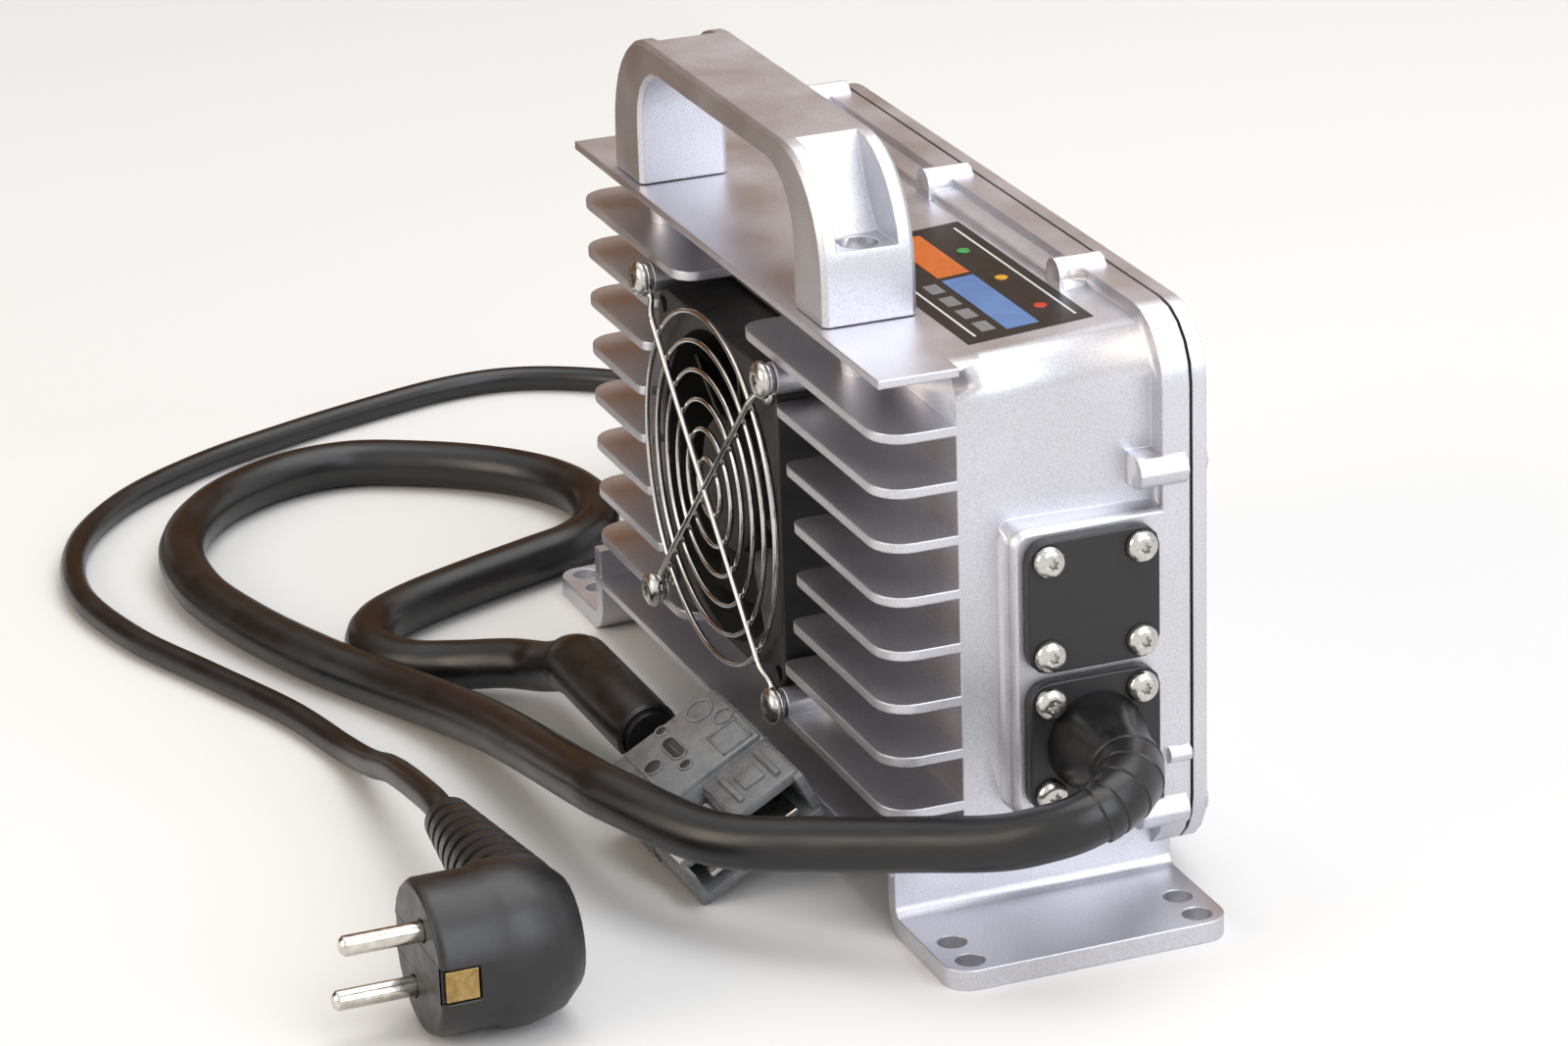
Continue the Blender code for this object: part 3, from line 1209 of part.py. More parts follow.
def output_lead():
    """Cable from the output boot over the connector, round two loops and back to the connector."""
    pose = connector_pose()
    rear = pose @ Vector((-CONNECTOR_LENGTH / 2 - TOUCH_GAP, 0, 0))
    back = (pose.to_3x3() @ Vector((-1, 0, 0))).normalized()
    sleeve = [
        (0, 0), (SLEEVE_RADIUS, 0), (SLEEVE_RADIUS, 0.7 * SLEEVE_LENGTH),
        (SLEEVE_RADIUS - 0.8 * MM, SLEEVE_LENGTH), (0, SLEEVE_LENGTH),
    ]
    boot = finish("cable_sleeve", turned_mesh(sleeve, "Z", (0, 0), 14), black_rubber())
    boot.rotation_euler = back.to_track_quat("Z", "Y").to_euler()
    boot.location = rear
    gland = (PLATE_FACE + OUTPUT_BOOT_LENGTH + TOUCH_GAP, depth(PLATE_MIDDLE), PORT_HEIGHT)
    end = rear + back * (SLEEVE_LENGTH + TOUCH_GAP)
    before_end = end + back * 12 * MM
    route = [gland] + in_metres(OUTPUT_ROUTE) + [tuple(before_end), tuple(end)]
    cord_tube("output_cable", route, OUTPUT_DIAMETER, OUTPUT_DIAMETER, 3)


def mains_lead():
    """Cable from the input boot to the coil behind the charger, and from the coil round to the plug."""
    gland = (-(PLATE_FACE + INPUT_BOOT_LENGTH + TOUCH_GAP), depth(PLATE_MIDDLE), PORT_HEIGHT)
    inner = [gland] + in_metres(MAINS_INNER_ROUTE)
    cord_tube("mains_cable_inner", inner, MAINS_DIAMETER, 2.2 * MAINS_DIAMETER, 2)
    relief_end = (PLUG_X - RELIEF_LENGTH - TOUCH_GAP, RELIEF_Y, RELIEF_HEIGHT)
    before_end = (relief_end[0] - 12 * MM, RELIEF_Y, RELIEF_HEIGHT)
    outer = in_metres(MAINS_OUTER_ROUTE) + [before_end, relief_end]
    cord_tube("mains_cable_outer", outer, MAINS_DIAMETER, 3.0 * MAINS_DIAMETER, 2)
    half = COIL_SECTION / 2
    section = rounded_rectangle((COIL_RADIUS - half, 0), (COIL_RADIUS + half, COIL_SECTION), 4 * MM, 2)
    mesh = bmesh.new()
    rings = []
    sides = 28
    for i in range(sides):
        angle = 2 * math.pi * i / sides
        out = Vector((math.cos(angle), math.sin(angle), 0))
        middle = Vector((*COIL_CENTRE, 0))
        rings.append([mesh.verts.new(middle + r * out + Vector((0, 0, z))) for r, z in section])
    for i in range(sides):
        now, following = rings[i], rings[(i + 1) % sides]
        for k in range(len(section)):
            n = (k + 1) % len(section)
            mesh.faces.new((now[k], now[n], following[n], following[k]))
    finish("mains_coil", mesh, black_rubber())
    tie()


def tie():
    """A strap round the coil's section, open by its clearance all round."""
    gap = 2 * TOUCH_GAP
    half = COIL_SECTION / 2 + gap
    top = COIL_SECTION + gap
    inner = rounded_rectangle((COIL_RADIUS - half, -0.5 * MM), (COIL_RADIUS + half, top), 3.5 * MM, 3)
    outer_low = (COIL_RADIUS - half - TIE_THICKNESS, MM)
    outer_high = (COIL_RADIUS + half + TIE_THICKNESS, top + TIE_THICKNESS)
    outer = rounded_rectangle(outer_low, outer_high, 4 * MM, 3)
    start = COIL_CENTRE[1] - TIE_WIDTH / 2
    end = COIL_CENTRE[1] + TIE_WIDTH / 2
    shift = COIL_CENTRE[0]
    placed = [(shift - u, v) for u, v in outer]
    strap = finish("coil_tie", prism_mesh(placed, "Y", start, end), black_plastic())
    hole = [(shift - u, v) for u, v in inner]
    combine(strap, "coil_tie_opening", [prism_mesh(hole, "Y", start - SUNK, end + SUNK)], "DIFFERENCE")


def plug_pins():
    """Places of the two pins, leaning a little from upright as the plug lies."""
    lean = math.radians(PIN_LEAN)
    half = PIN_PITCH / 2
    height = PLUG_RADIUS
    shift = (half * math.sin(lean), half * math.cos(lean))
    return [(PLUG_X - shift[0], height - shift[1]), (PLUG_X + shift[0], height + shift[1])]


def plug():
    """Two-pin earthed plug lying on its edge, with the lead leaving sideways through a tapered relief."""
    radius = PLUG_RADIUS
    profile = [
        (0, PLUG_FACE),
        (0.90 * radius, PLUG_FACE),
        (0.95 * radius, PLUG_FACE + 2 * MM),
        (0.95 * radius, PLUG_FACE + 14 * MM),
        (radius, PLUG_FACE + 16 * MM),
        (radius, PLUG_FACE + 22 * MM),
        (0.90 * radius, PLUG_BACK - 5 * MM),
        (0.66 * radius, PLUG_BACK),
        (0, PLUG_BACK),
    ]
    body = finish("plug_body", turned_mesh(profile, "Y", (PLUG_X, radius), 24), black_rubber())
    relief = [
        (0, PLUG_X - RELIEF_LENGTH),
        (RELIEF_END_RADIUS, PLUG_X - RELIEF_LENGTH),
        (1.5 * RELIEF_END_RADIUS, PLUG_X - 0.55 * RELIEF_LENGTH),
        (1.9 * RELIEF_END_RADIUS, PLUG_X - 0.7 * radius),
        (0, PLUG_X - 0.7 * radius),
    ]
    combine(body, "plug_relief", [turned_mesh(relief, "X", (RELIEF_Y, RELIEF_HEIGHT), 12)], "UNION")
    cuts = []
    ends = (PLUG_FACE - SUNK, PLUG_FACE + PIN_SEAT)
    for centre in plug_pins():
        cuts.append(cylinder_mesh("Y", centre, PIN_RADIUS + TOUCH_GAP, *ends, 12))
    clip = 4 * MM
    for side in (-1, 1):
        middle = PLUG_X + side * 0.95 * radius
        low = (middle - 2.2 * MM, PLUG_FACE - SUNK, radius - clip)
        high = (middle + 2.2 * MM, PLUG_FACE + 9 * MM, radius + clip)
        cuts.append(block_mesh(low, high))
    combine(body, "plug_cuts", cuts, "DIFFERENCE")
    for number, (x, z) in enumerate(plug_pins(), 1):
        seat = PLUG_FACE + PIN_SEAT - TOUCH_GAP
        tip = PLUG_FACE - PIN_LENGTH
        profile = [(0, seat), (PIN_RADIUS, seat), (PIN_RADIUS, tip + MM), (0.6 * PIN_RADIUS, tip), (0, tip)]
        finish(f"plug_pin_{number}", turned_mesh(profile, "Y", (x, z), 12), steel())
    for number, side in enumerate((-1, 1), 1):
        inner = PLUG_X + side * (0.95 * radius - 2.2 * MM + TOUCH_GAP)
        outer = inner + side * 1.0 * MM
        low = (min(inner, outer), PLUG_FACE + MM, radius - clip + TOUCH_GAP)
        high = (max(inner, outer), PLUG_FACE + 9 * MM - TOUCH_GAP, radius + clip - TOUCH_GAP)
        finish(f"earth_contact_{number}", block_mesh(low, high), steel())


def main():
    clear_scene()
    housing()
    gasket()
    rear_cover()
    cover_screws()
    fan_frame()
    fan_rotor()
    fan_guard()
    guard_screws()
    fan_screws()
    handle()
    connection_plates()
    electronics()
    output_lead()
    connector()
    mains_lead()
    plug()


main()
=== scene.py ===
"""Looks of a finned battery charger: satin castings, a chromed fan guard, black leads, plug and connector."""

import math

import bmesh
import bpy
from bpy.props import FloatProperty, FloatVectorProperty, PointerProperty
from mathutils import Matrix, Vector


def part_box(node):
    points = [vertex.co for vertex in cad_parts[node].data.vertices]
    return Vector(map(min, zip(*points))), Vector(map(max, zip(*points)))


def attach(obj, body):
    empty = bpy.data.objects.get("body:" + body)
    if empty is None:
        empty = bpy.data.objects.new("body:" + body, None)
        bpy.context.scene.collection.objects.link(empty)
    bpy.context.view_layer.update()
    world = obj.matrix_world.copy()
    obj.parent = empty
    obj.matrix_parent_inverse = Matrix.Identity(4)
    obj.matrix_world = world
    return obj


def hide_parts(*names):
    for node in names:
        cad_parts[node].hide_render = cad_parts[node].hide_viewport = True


bl_info = {
    "name": "Battery charger",
    "version": (1, 0, 0),
    "blender": (4, 5, 0),
    "location": "3D View > Sidebar > Charger",
    "description": "Dresses the packed battery charger in its finishes and sets it on a pale studio floor",
    "category": "Object",
}

MM = 0.001
BODY = "charger"

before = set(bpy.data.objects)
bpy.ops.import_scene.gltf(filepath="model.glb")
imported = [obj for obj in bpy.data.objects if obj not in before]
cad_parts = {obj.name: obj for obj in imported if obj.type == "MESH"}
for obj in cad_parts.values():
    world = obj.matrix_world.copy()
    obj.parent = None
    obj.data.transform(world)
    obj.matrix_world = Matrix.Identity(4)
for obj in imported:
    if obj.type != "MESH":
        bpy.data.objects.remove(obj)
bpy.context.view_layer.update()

# Routes of the two leads, in millimetres, as the CAD model lays them
OUTPUT_ROUTE = (
    (124.4, 9.2, 44.8),
    (128.4, 9.2, 44.8), (135.4, 6.4, 43.8), (139.8, -0.2, 41.6), (140.9, -7.4, 39.4),
    (138.4, -14.6, 37.0), (131.6, -23.6, 33.6), (119.0, -37.0, 30.6), (103.0, -54.5, 27.4),
    (84.0, -73.7, 24.7), (54.0, -86.2, 25.0), (38.0, -88.7, 23.3), (-4.0, -89.7, 16.0),
    (-28.0, -91.2, 12.0), (-52.0, -95.2, 8.5), (-76.0, -103.2, 6.6), (-100.0, -113.6, 6.6),
    (-130.0, -123.4, 6.6), (-160.0, -128.6, 6.6), (-190.0, -125.2, 6.6), (-216.0, -110.2, 6.6),
    (-232.0, -87.2, 6.6), (-235.0, -65.2, 6.6), (-226.0, -45.9, 6.6), (-213.0, -29.1, 6.6),
    (-197.0, -17.2, 6.6), (-178.0, -12.4, 6.6), (-159.0, -16.7, 6.6), (-147.5, -27.2, 6.6),
    (-141.5, -41.2, 6.6), (-133.0, -62.2, 6.6), (-124.0, -81.2, 6.6), (-114.0, -94.0, 6.6),
    (-100.0, -99.0, 6.6), (-86.0, -94.0, 7.0), (-76.5, -83.2, 8.4), (-66.0, -73.2, 11.0),
    (-53.8, -67.2, 13.6),
)
MAINS_INNER_ROUTE = (
    (-136.7, 9.2, 44.8),
    (-143.0, 9.2, 44.8), (-153.0, 9.8, 41.2), (-160.0, 9.8, 33.5), (-163.2, 9.8, 24.5),
    (-161.4, 10.0, 15.5), (-157.4, 12.2, 8.8), (-153.4, 15.6, 5.0),
)
MAINS_OUTER_ROUTE = (
    (-222.8, 83.8, 3.7), (-237.5, 67.0, 3.7), (-258.0, 46.0, 3.7), (-279.0, 23.5, 3.7),
    (-289.5, 3.0, 3.7), (-290.0, -18.0, 3.7), (-283.0, -44.0, 3.7), (-273.0, -72.0, 3.7),
    (-260.0, -101.0, 3.7), (-240.0, -129.0, 3.7), (-212.0, -149.0, 3.7), (-178.0, -157.0, 3.7),
    (-142.0, -152.0, 3.7), (-108.0, -140.0, 3.7), (-76.0, -128.6, 3.7), (-48.0, -123.0, 4.2),
    (-26.0, -122.2, 8.6), (-6.0, -122.2, 14.6),
)

# Where the cables leave their plates: the plate's face, and the gland's place along Y and Z
PLATE_FACE = 112.5
GLAND = (9.2, 44.8)

# Middle of the coil of mains cable, and the turn angles in degrees at which the routes meet it
COIL_CENTRE = (-185.0, 52.8)
COIL_START = -49.6
COIL_END = 139.4 + 3 * 360.0

# The relief of the mains plug runs along X at this place on Y and Z, from its end towards the plug
RELIEF_LINE = (-122.2, 19.0)
RELIEF_END = 34.7

# The housing's top face, the rise of its rear part, and how far the fins' fronts lie before the origin
TOP_HEIGHT = 135.0
TOP_RISE = 2.5
RISE_START = 27.0
RISE_LENGTH = 38.0
FIN_FRONTS = 37.2

# The fan guard: its rings, half the spacing of its four screws, and the loops round them
GUARD_RINGS = 6
GUARD_RADIUS = 43.5
GUARD_HALF_SPACING = 41.25
GUARD_LOOP_RADIUS = 3.0

# Heights of the shown screw heads; the cover's heads are flatter than their nodes
HEAD_HEIGHTS = {"guard": 2.5, "fan": 1.6, "handle": 3.2}
PLAIN_HEAD_HEIGHT = 2.4
COVER_HEAD_SHARE = 0.45

# Camera solved from the photograph's view
CAMERA_PLACE = (1.0964, -0.4406, 0.5210)
CAMERA_RIGHT = (0.36757, 0.92950, -0.03073)
CAMERA_UP = (-0.32728, 0.16021, 0.93126)
CAMERA_LENS = 118.99

# Pose of the battery connector, as the CAD model lays it
CONNECTOR_CENTRE = (45.0, -60.3, 16.95)
CONNECTOR_TURN = (28.0, 5.0, 5.0)
CONNECTOR_SIZE = (47.9, 36.5, 15.9)


def linear(hex_colour):
    """An sRGB hex colour as linear red, green and blue."""
    parts = [int(hex_colour[i : i + 2], 16) / 255 for i in (1, 3, 5)]
    return tuple(c / 12.92 if c <= 0.04045 else ((c + 0.055) / 1.055) ** 2.4 for c in parts)


def per_metre(size_mm):
    """Texture scale at which one feature of a pattern is this many millimetres across."""
    return 1.0 / (size_mm * MM)


def add_node(tree, kind, settings=None, values=None, links=None):
    """One node with its settings, socket values and incoming links."""
    made = tree.nodes.new(kind)
    for name, value in (settings or {}).items():
        setattr(made, name, value)
    for socket, value in (values or {}).items():
        made.inputs[socket].default_value = value
    for socket, source in (links or {}).items():
        tree.links.new(source, made.inputs[socket])
    return made


def new_surface(name, values):
    """A material with its Principled shader set, ready for nodes: gives (material, tree, shader)."""
    made = bpy.data.materials.new(name)
    made.use_nodes = True
    shader = made.node_tree.nodes["Principled BSDF"]
    for socket, value in values.items():
        shader.inputs[socket].default_value = value
    return made, made.node_tree, shader


def mottled_surface(name, values, drift_mm, tones, gloss, grain_mm, relief_mm, speckle=0.0, edge_mm=0.0):
    """A finish whose tone and gloss drift slowly between two values, over a finer grain that dents it.

    Its own values come first, then the size of the drift, the two tones and the two values of roughness,
    the size and depth of the grain, how much the grain darkens the tone, and the radius on its edges.
    """
    made, tree, shader = new_surface(name, values)
    point = add_node(tree, "ShaderNodeTexCoord").outputs["Object"]
    drift = add_node(
        tree, "ShaderNodeTexNoise",
        values={"Scale": per_metre(drift_mm), "Detail": 3.0, "Roughness": 0.58},
        links={"Vector": point},
    ).outputs["Fac"]
    grain = add_node(
        tree, "ShaderNodeTexNoise",
        values={"Scale": per_metre(grain_mm), "Detail": 2.0},
        links={"Vector": point},
    ).outputs["Fac"]
    tone = add_node(
        tree, "ShaderNodeMix",
        {"data_type": "RGBA"},
        {6: (*tones[0], 1.0), 7: (*tones[1], 1.0)},
        {0: add_node(
            tree, "ShaderNodeMapRange", values={"From Min": 0.3, "From Max": 0.7}, links={"Value": drift}
        ).outputs["Result"]},
    ).outputs[2]
    if speckle:
        dark = add_node(
            tree, "ShaderNodeMapRange",
            values={"From Min": 0.3, "From Max": 0.6, "To Min": 1.0 - speckle, "To Max": 1.0},
            links={"Value": grain},
        ).outputs["Result"]
        tone = add_node(
            tree, "ShaderNodeMix",
            {"data_type": "RGBA", "blend_type": "MULTIPLY"},
            {0: 1.0},
            {6: tone, 7: dark},
        ).outputs[2]
    tree.links.new(tone, shader.inputs["Base Color"])
    rough = add_node(
        tree, "ShaderNodeMapRange",
        values={"From Min": 0.3, "From Max": 0.7, "To Min": gloss[0], "To Max": gloss[1]},
        links={"Value": drift},
    )
    tree.links.new(rough.outputs["Result"], shader.inputs["Roughness"])
    bump = add_node(
        tree, "ShaderNodeBump", values={"Strength": 0.5, "Distance": relief_mm * MM}, links={"Height": grain}
    )
    if edge_mm:
        edge = add_node(tree, "ShaderNodeBevel", {"samples": 6}, {"Radius": edge_mm * MM})
        tree.links.new(edge.outputs["Normal"], bump.inputs["Normal"])
    tree.links.new(bump.outputs["Normal"], shader.inputs["Normal"])
    return made


def shaded(tone, share):
    """A colour scaled in brightness."""
    return tuple(min(1.0, share * channel) for channel in tone)


def make_finishes(colours, sizes):
    """Every finish of the charger, by a short name."""
    metal = {"Metallic": 1.0}
    finishes = {
        # Blasted die casting: pale satin metal with a fine speckle, softened edges and slow drifts of gloss
        "casting": mottled_surface(
            "die_cast_aluminium_blasted", metal, 28.0,
            (shaded(colours.casting, 0.94), shaded(colours.casting, 1.03)), (0.38, 0.48), 0.5, 0.05, 0.16,
            sizes.casting_edge / MM,
        ),
        # Bright chrome over drawn wire: mirror gloss, slightly softened by drawing marks
        "wire": mottled_surface(
            "drawn_steel_wire_chrome_plated", metal, 3.0,
            (linear("#C6C4C1"), linear("#D3D1CE")), (0.08, 0.17), 0.8, 0.01,
        ),
        # Zinc plate on a headed screw: bright, a little cloudy, with faint wear
        "screw": mottled_surface(
            "headed_steel_zinc_plated", metal, 1.6,
            (linear("#B2B0AC"), linear("#DAD8D3")), (0.16, 0.30), 0.5, 0.02,
        ),
        # Glass-filled nylon: near black and satin, with a spark-eroded grain
        "nylon": mottled_surface(
            "glass_filled_nylon_moulded", {"IOR": 1.53}, 9.0,
            (shaded(colours.moulding, 0.8), shaded(colours.moulding, 1.3)), (0.36, 0.50), 0.5, 0.05,
        ),
        # Extruded rubber jacket: black with long soft highlights, a dusty bloom and slight waves
        "rubber": mottled_surface(
            "chloroprene_rubber_extruded", {"IOR": 1.52}, 14.0,
            (shaded(colours.rubber, 0.7), shaded(colours.rubber, 1.4)), (0.27, 0.40), 2.2, 0.04,
        ),
        # Shrunk sleeve: smoother and a touch glossier than the jacket, slightly rippled over it
        "sleeve": mottled_surface(
            "polyolefin_sleeve_shrunk", {"IOR": 1.50}, 7.0,
            (linear("#121213"), linear("#1D1D1E")), (0.26, 0.38), 3.0, 0.12,
        ),
        # Moulded soft PVC: deep black with a fine eroded texture
        "plug": mottled_surface(
            "plasticised_pvc_moulded", {"IOR": 1.53}, 6.0,
            (linear("#131314"), linear("#1E1E20")), (0.30, 0.46), 0.6, 0.04,
        ),
        # Moulded PBT of the fan: dull black with dust that settles in patches
        "fan": mottled_surface(
            "glass_filled_pbt_moulded", {"IOR": 1.55}, 5.0,
            (linear("#131314"), linear("#252423")), (0.42, 0.60), 0.5, 0.04,
        ),
        # Moulded polycarbonate: mid grey and slightly glossy, with a little light in its edges
        "connector": mottled_surface(
            "polycarbonate_moulded",
            {"IOR": 1.585, "Subsurface Weight": 0.08, "Subsurface Scale": 0.002}, 4.0,
            (linear("#6C6E70"), linear("#828486")), (0.20, 0.36), 0.7, 0.04, 0.08,
        ),
        # Nickel plate on turned pins: warm bright metal with light wear
        "nickel": mottled_surface(
            "turned_brass_nickel_plated", metal, 2.0,
            (linear("#BCB7AE"), linear("#DEDAD2")), (0.12, 0.24), 0.6, 0.01,
        ),
        # Stamped brass clip of the plug: warm yellow, dulled by handling
        "brass": mottled_surface(
            "rolled_brass_stamped", metal, 2.5,
            (linear("#8C7244"), linear("#B39A66")), (0.28, 0.42), 0.6, 0.01,
        ),
        # Cut silicone sheet: a matt black line in the joint
        "gasket": mottled_surface(
            "silicone_rubber_cut", {"IOR": 1.43}, 1.5,
            (linear("#0E0E0F"), linear("#1C1C1D")), (0.60, 0.75), 0.8, 0.03,
        ),
    }
    films = {
        "film_black_and_painted_shade": "#101011", "film_orange": "#C9661F", "film_blue": "#5C7FB4", "film_white": "#D9D9D6",
        "film_grey": "#7C7D80", "lens_green": "#2F9A44", "lens_amber": "#E0A21E", "lens_red": "#C2331F",
    }
    for name, tone in films.items():
        # Screen-printed polyester film, domed over the lamps: even colour under a satin, faintly pebbled
        # face; the black one also makes the painted shade in the connector's holes
        finishes[name] = mottled_surface(
            f"polyester_{name}_printed", {"IOR": 1.64}, 3.0,
            (shaded(linear(tone), 0.93), linear(tone)), (0.34, 0.44), 0.8, 0.01,
        )
    return finishes


# The finishes by their short names, made when the script runs
FINISHES = {}


def add_piece(name, data, finish, body=BODY):
    """A visible piece that rides on a body, with the given finish in its material slot."""
    piece = bpy.data.objects.new(name, data)
    bpy.context.scene.collection.objects.link(piece)
    data.materials.clear()
    data.materials.append(finish)
    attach(piece, body)
    return piece


def mesh_from(name, mesh, sharp_angle=35.0):
    """Mesh data from a bmesh, smooth but for its sharp edges; the bmesh is freed."""
    bmesh.ops.recalc_face_normals(mesh, faces=mesh.faces)
    data = bpy.data.meshes.new(name)
    mesh.to_mesh(data)
    mesh.free()
    data.shade_smooth()
    data.set_sharp_from_angle(angle=math.radians(sharp_angle))
    return data


def rounded_casting(node_name, finish, edge, body=BODY, segments=2, angle=30.0):
    """The CAD node's own shape, with its sharp edges rounded when an edge width is given, standing for the
    node.
    """
    mesh = bmesh.new()
    mesh.from_mesh(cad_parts[node_name].data)
    bmesh.ops.remove_doubles(mesh, verts=mesh.verts, dist=0.00001)
    bmesh.ops.dissolve_limit(mesh, angle_limit=math.radians(0.5), verts=mesh.verts, edges=mesh.edges)
    data = bpy.data.meshes.new(node_name + "_shown")
    mesh.to_mesh(data)
    mesh.free()
    data.shade_smooth()
    data.set_sharp_from_angle(angle=math.radians(angle))
    piece = add_piece(node_name + "_shown", data, finish, body)
    if edge:
        bevel = piece.modifiers.new("rounded_edges", "BEVEL")
        bevel.width = edge
        bevel.segments = segments
        bevel.limit_method = "ANGLE"
        bevel.angle_limit = math.radians(angle)
        bevel.use_clamp_overlap = False
    normals = piece.modifiers.new("flat_faces", "WEIGHTED_NORMAL")
    normals.keep_sharp = True
    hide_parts(node_name)
    return piece


def loft(rows):
    """A bmesh through rows of points; each row closes on itself, and the ends are capped."""
    mesh = bmesh.new()
    made = [[mesh.verts.new(point) for point in row] for row in rows]
    count = len(made[0])
    for lower, upper in zip(made, made[1:]):
        for i in range(count):
            j = (i + 1) % count
            mesh.faces.new((lower[i], lower[j], upper[j], upper[i]))
    mesh.faces.new(made[0][::-1])
    mesh.faces.new(made[-1])
    return mesh


def add_slab(mesh, low, high, edge):
    """Adds a block with rounded edges to the mesh."""
    made = bmesh.ops.create_cube(mesh, size=1.0)["verts"]
    for vert in made:
        vert.co = Vector([a + (c + 0.5) * (b - a) for a, b, c in zip(low, high, vert.co)])
    edges = {side for vert in made for side in vert.link_edges}
    bmesh.ops.bevel(
        mesh, geom=list(edges), offset=edge, segments=2, profile=0.5, affect="EDGES", clamp_overlap=True
    )


def add_rim(mesh, centre, outer, inner, stretch, rise=0.4, sides=28):
    """Adds a raised rim round a hole: round, or a slot where stretch gives half its straight length."""
    profile = ((outer, -0.3), (outer, 0.6 * rise), (outer - 0.15, rise), (inner + 0.1, rise), (inner, -0.3))
    rows = []
    for radius, lift in profile:
        row = []
        for k in range(sides):
            angle = 2 * math.pi * (k + 0.5) / sides
            x = math.copysign(stretch, math.cos(angle)) + radius * math.cos(angle)
            row.append(mesh.verts.new(Vector(centre) + Vector((x, radius * math.sin(angle), lift))))
        rows.append(row)
    for lower, upper in zip(rows, rows[1:] + rows[:1]):
        for k in range(sides):
            j = (k + 1) % sides
            mesh.faces.new((lower[k], lower[j], upper[j], upper[k]))


def turned(profile, sides):
    """A body turned about Z from (radius, height) pairs that start and end near the axis."""
    rows = []
    for radius, height in profile:
        radius = max(radius, 0.02 * MM)
        row = []
        for i in range(sides):
            angle = 2 * math.pi * i / sides
            row.append((radius * math.cos(angle), radius * math.sin(angle), height))
        rows.append(row)
    return loft(rows)


def smooth_line(points_mm, spacing=2.0 * MM):
    """Points on one smooth curve through the route, evenly spaced, in metres."""
    given = [Vector(point) * MM for point in points_mm]
    padded = [given[0] * 2 - given[1]] + given + [given[-1] * 2 - given[-2]]
    fine = []
    for p0, p1, p2, p3 in zip(padded, padded[1:], padded[2:], padded[3:]):
        for step in range(16):
            t = step / 16
            fine.append(
                0.5
                * (
                    (2 * p1)
                    + (p2 - p0) * t
                    + (2 * p0 - 5 * p1 + 4 * p2 - p3) * t**2
                    + (3 * p1 - p0 - 3 * p2 + p3) * t**3
                )
            )
    fine.append(given[-1])
    total = line_length(fine)
    count = max(2, round(total / spacing))
    chosen = [fine[0]]
    run = 0.0
    for a, b in zip(fine, fine[1:]):
        length = (b - a).length
        while length and run + length >= total * len(chosen) / count and len(chosen) < count:
            chosen.append(a.lerp(b, (total * len(chosen) / count - run) / length))
        run += length
    chosen.append(fine[-1])
    return chosen


def line_length(points):
    """Length of a line through the points."""
    return sum((Vector(b) - Vector(a)).length for a, b in zip(points, points[1:]))


def wire_curve(name, lines, radius, resolution=4, closed=()):
    """A curve object's data with a round section; the line numbers in closed are rings."""
    data = bpy.data.curves.new(name, "CURVE")
    data.dimensions = "3D"
    data.bevel_depth = radius
    data.bevel_resolution = resolution
    data.use_fill_caps = True
    for number, line in enumerate(lines):
        spline = data.splines.new("POLY")
        spline.points.add(len(line) - 1)
        for place, point in zip(spline.points, line):
            place.co = (*point, 1.0)
        spline.use_cyclic_u = number in closed
        spline.use_smooth = True
    return data


def sleeve_on_line(line, radii, sides=32):
    """A solid along the first part of a line; radii holds pairs of distance and radius in millimetres."""
    rows = []
    across = None
    for distance, radius in radii:
        point, along = point_on(line, distance * MM)
        if across is None:
            across = along.orthogonal().normalized()
        across = (across - along * across.dot(along)).normalized()
        other = along.cross(across)
        row = []
        for k in range(sides):
            angle = 2 * math.pi * k / sides
            row.append(point + radius * MM * (math.cos(angle) * across + math.sin(angle) * other))
        rows.append(row)
    return loft(rows)


def point_on(line, distance):
    """The point and direction at this distance along a line."""
    run = 0.0
    for a, b in zip(line, line[1:]):
        length = (b - a).length
        if run + length >= distance and length > 0:
            return a.lerp(b, (distance - run) / length), (b - a).normalized()
        run += length
    return line[-1], (line[-1] - line[-2]).normalized()


def connector_pose():
    """The battery connector's place and turn, as a matrix in metres."""
    roll, pitch, yaw = (math.radians(angle) for angle in CONNECTOR_TURN)
    turn = Matrix.Rotation(yaw, 4, "Z") @ Matrix.Rotation(pitch, 4, "Y") @ Matrix.Rotation(roll, 4, "X")
    return Matrix.Translation(Vector(CONNECTOR_CENTRE) * MM) @ turn


class ChargerSizes(bpy.types.PropertyGroup):
    """Sizes that belong to the looks and not to the CAD model."""

    casting_edge: FloatProperty(
        name="Casting edge", description="Radius on the edges of the castings",
        default=0.0006, unit="LENGTH",
    )
    moulding_edge: FloatProperty(
        name="Moulding edge", description="Radius on the edges of moulded pieces",
        default=0.0004, unit="LENGTH",
    )
    guard_wire: FloatProperty(
        name="Guard wire", description="Diameter of the guard's ring wire",
        default=0.0014, unit="LENGTH",
    )
    guard_strut: FloatProperty(
        name="Guard strut", description="Diameter of the guard's crossed struts",
        default=0.0017, unit="LENGTH",
    )
    output_cable: FloatProperty(
        name="Output cable", description="Outer diameter of the output cable",
        default=0.013, unit="LENGTH",
    )
    mains_cable: FloatProperty(
        name="Mains cable", description="Outer diameter of the mains cable",
        default=0.007, unit="LENGTH",
    )


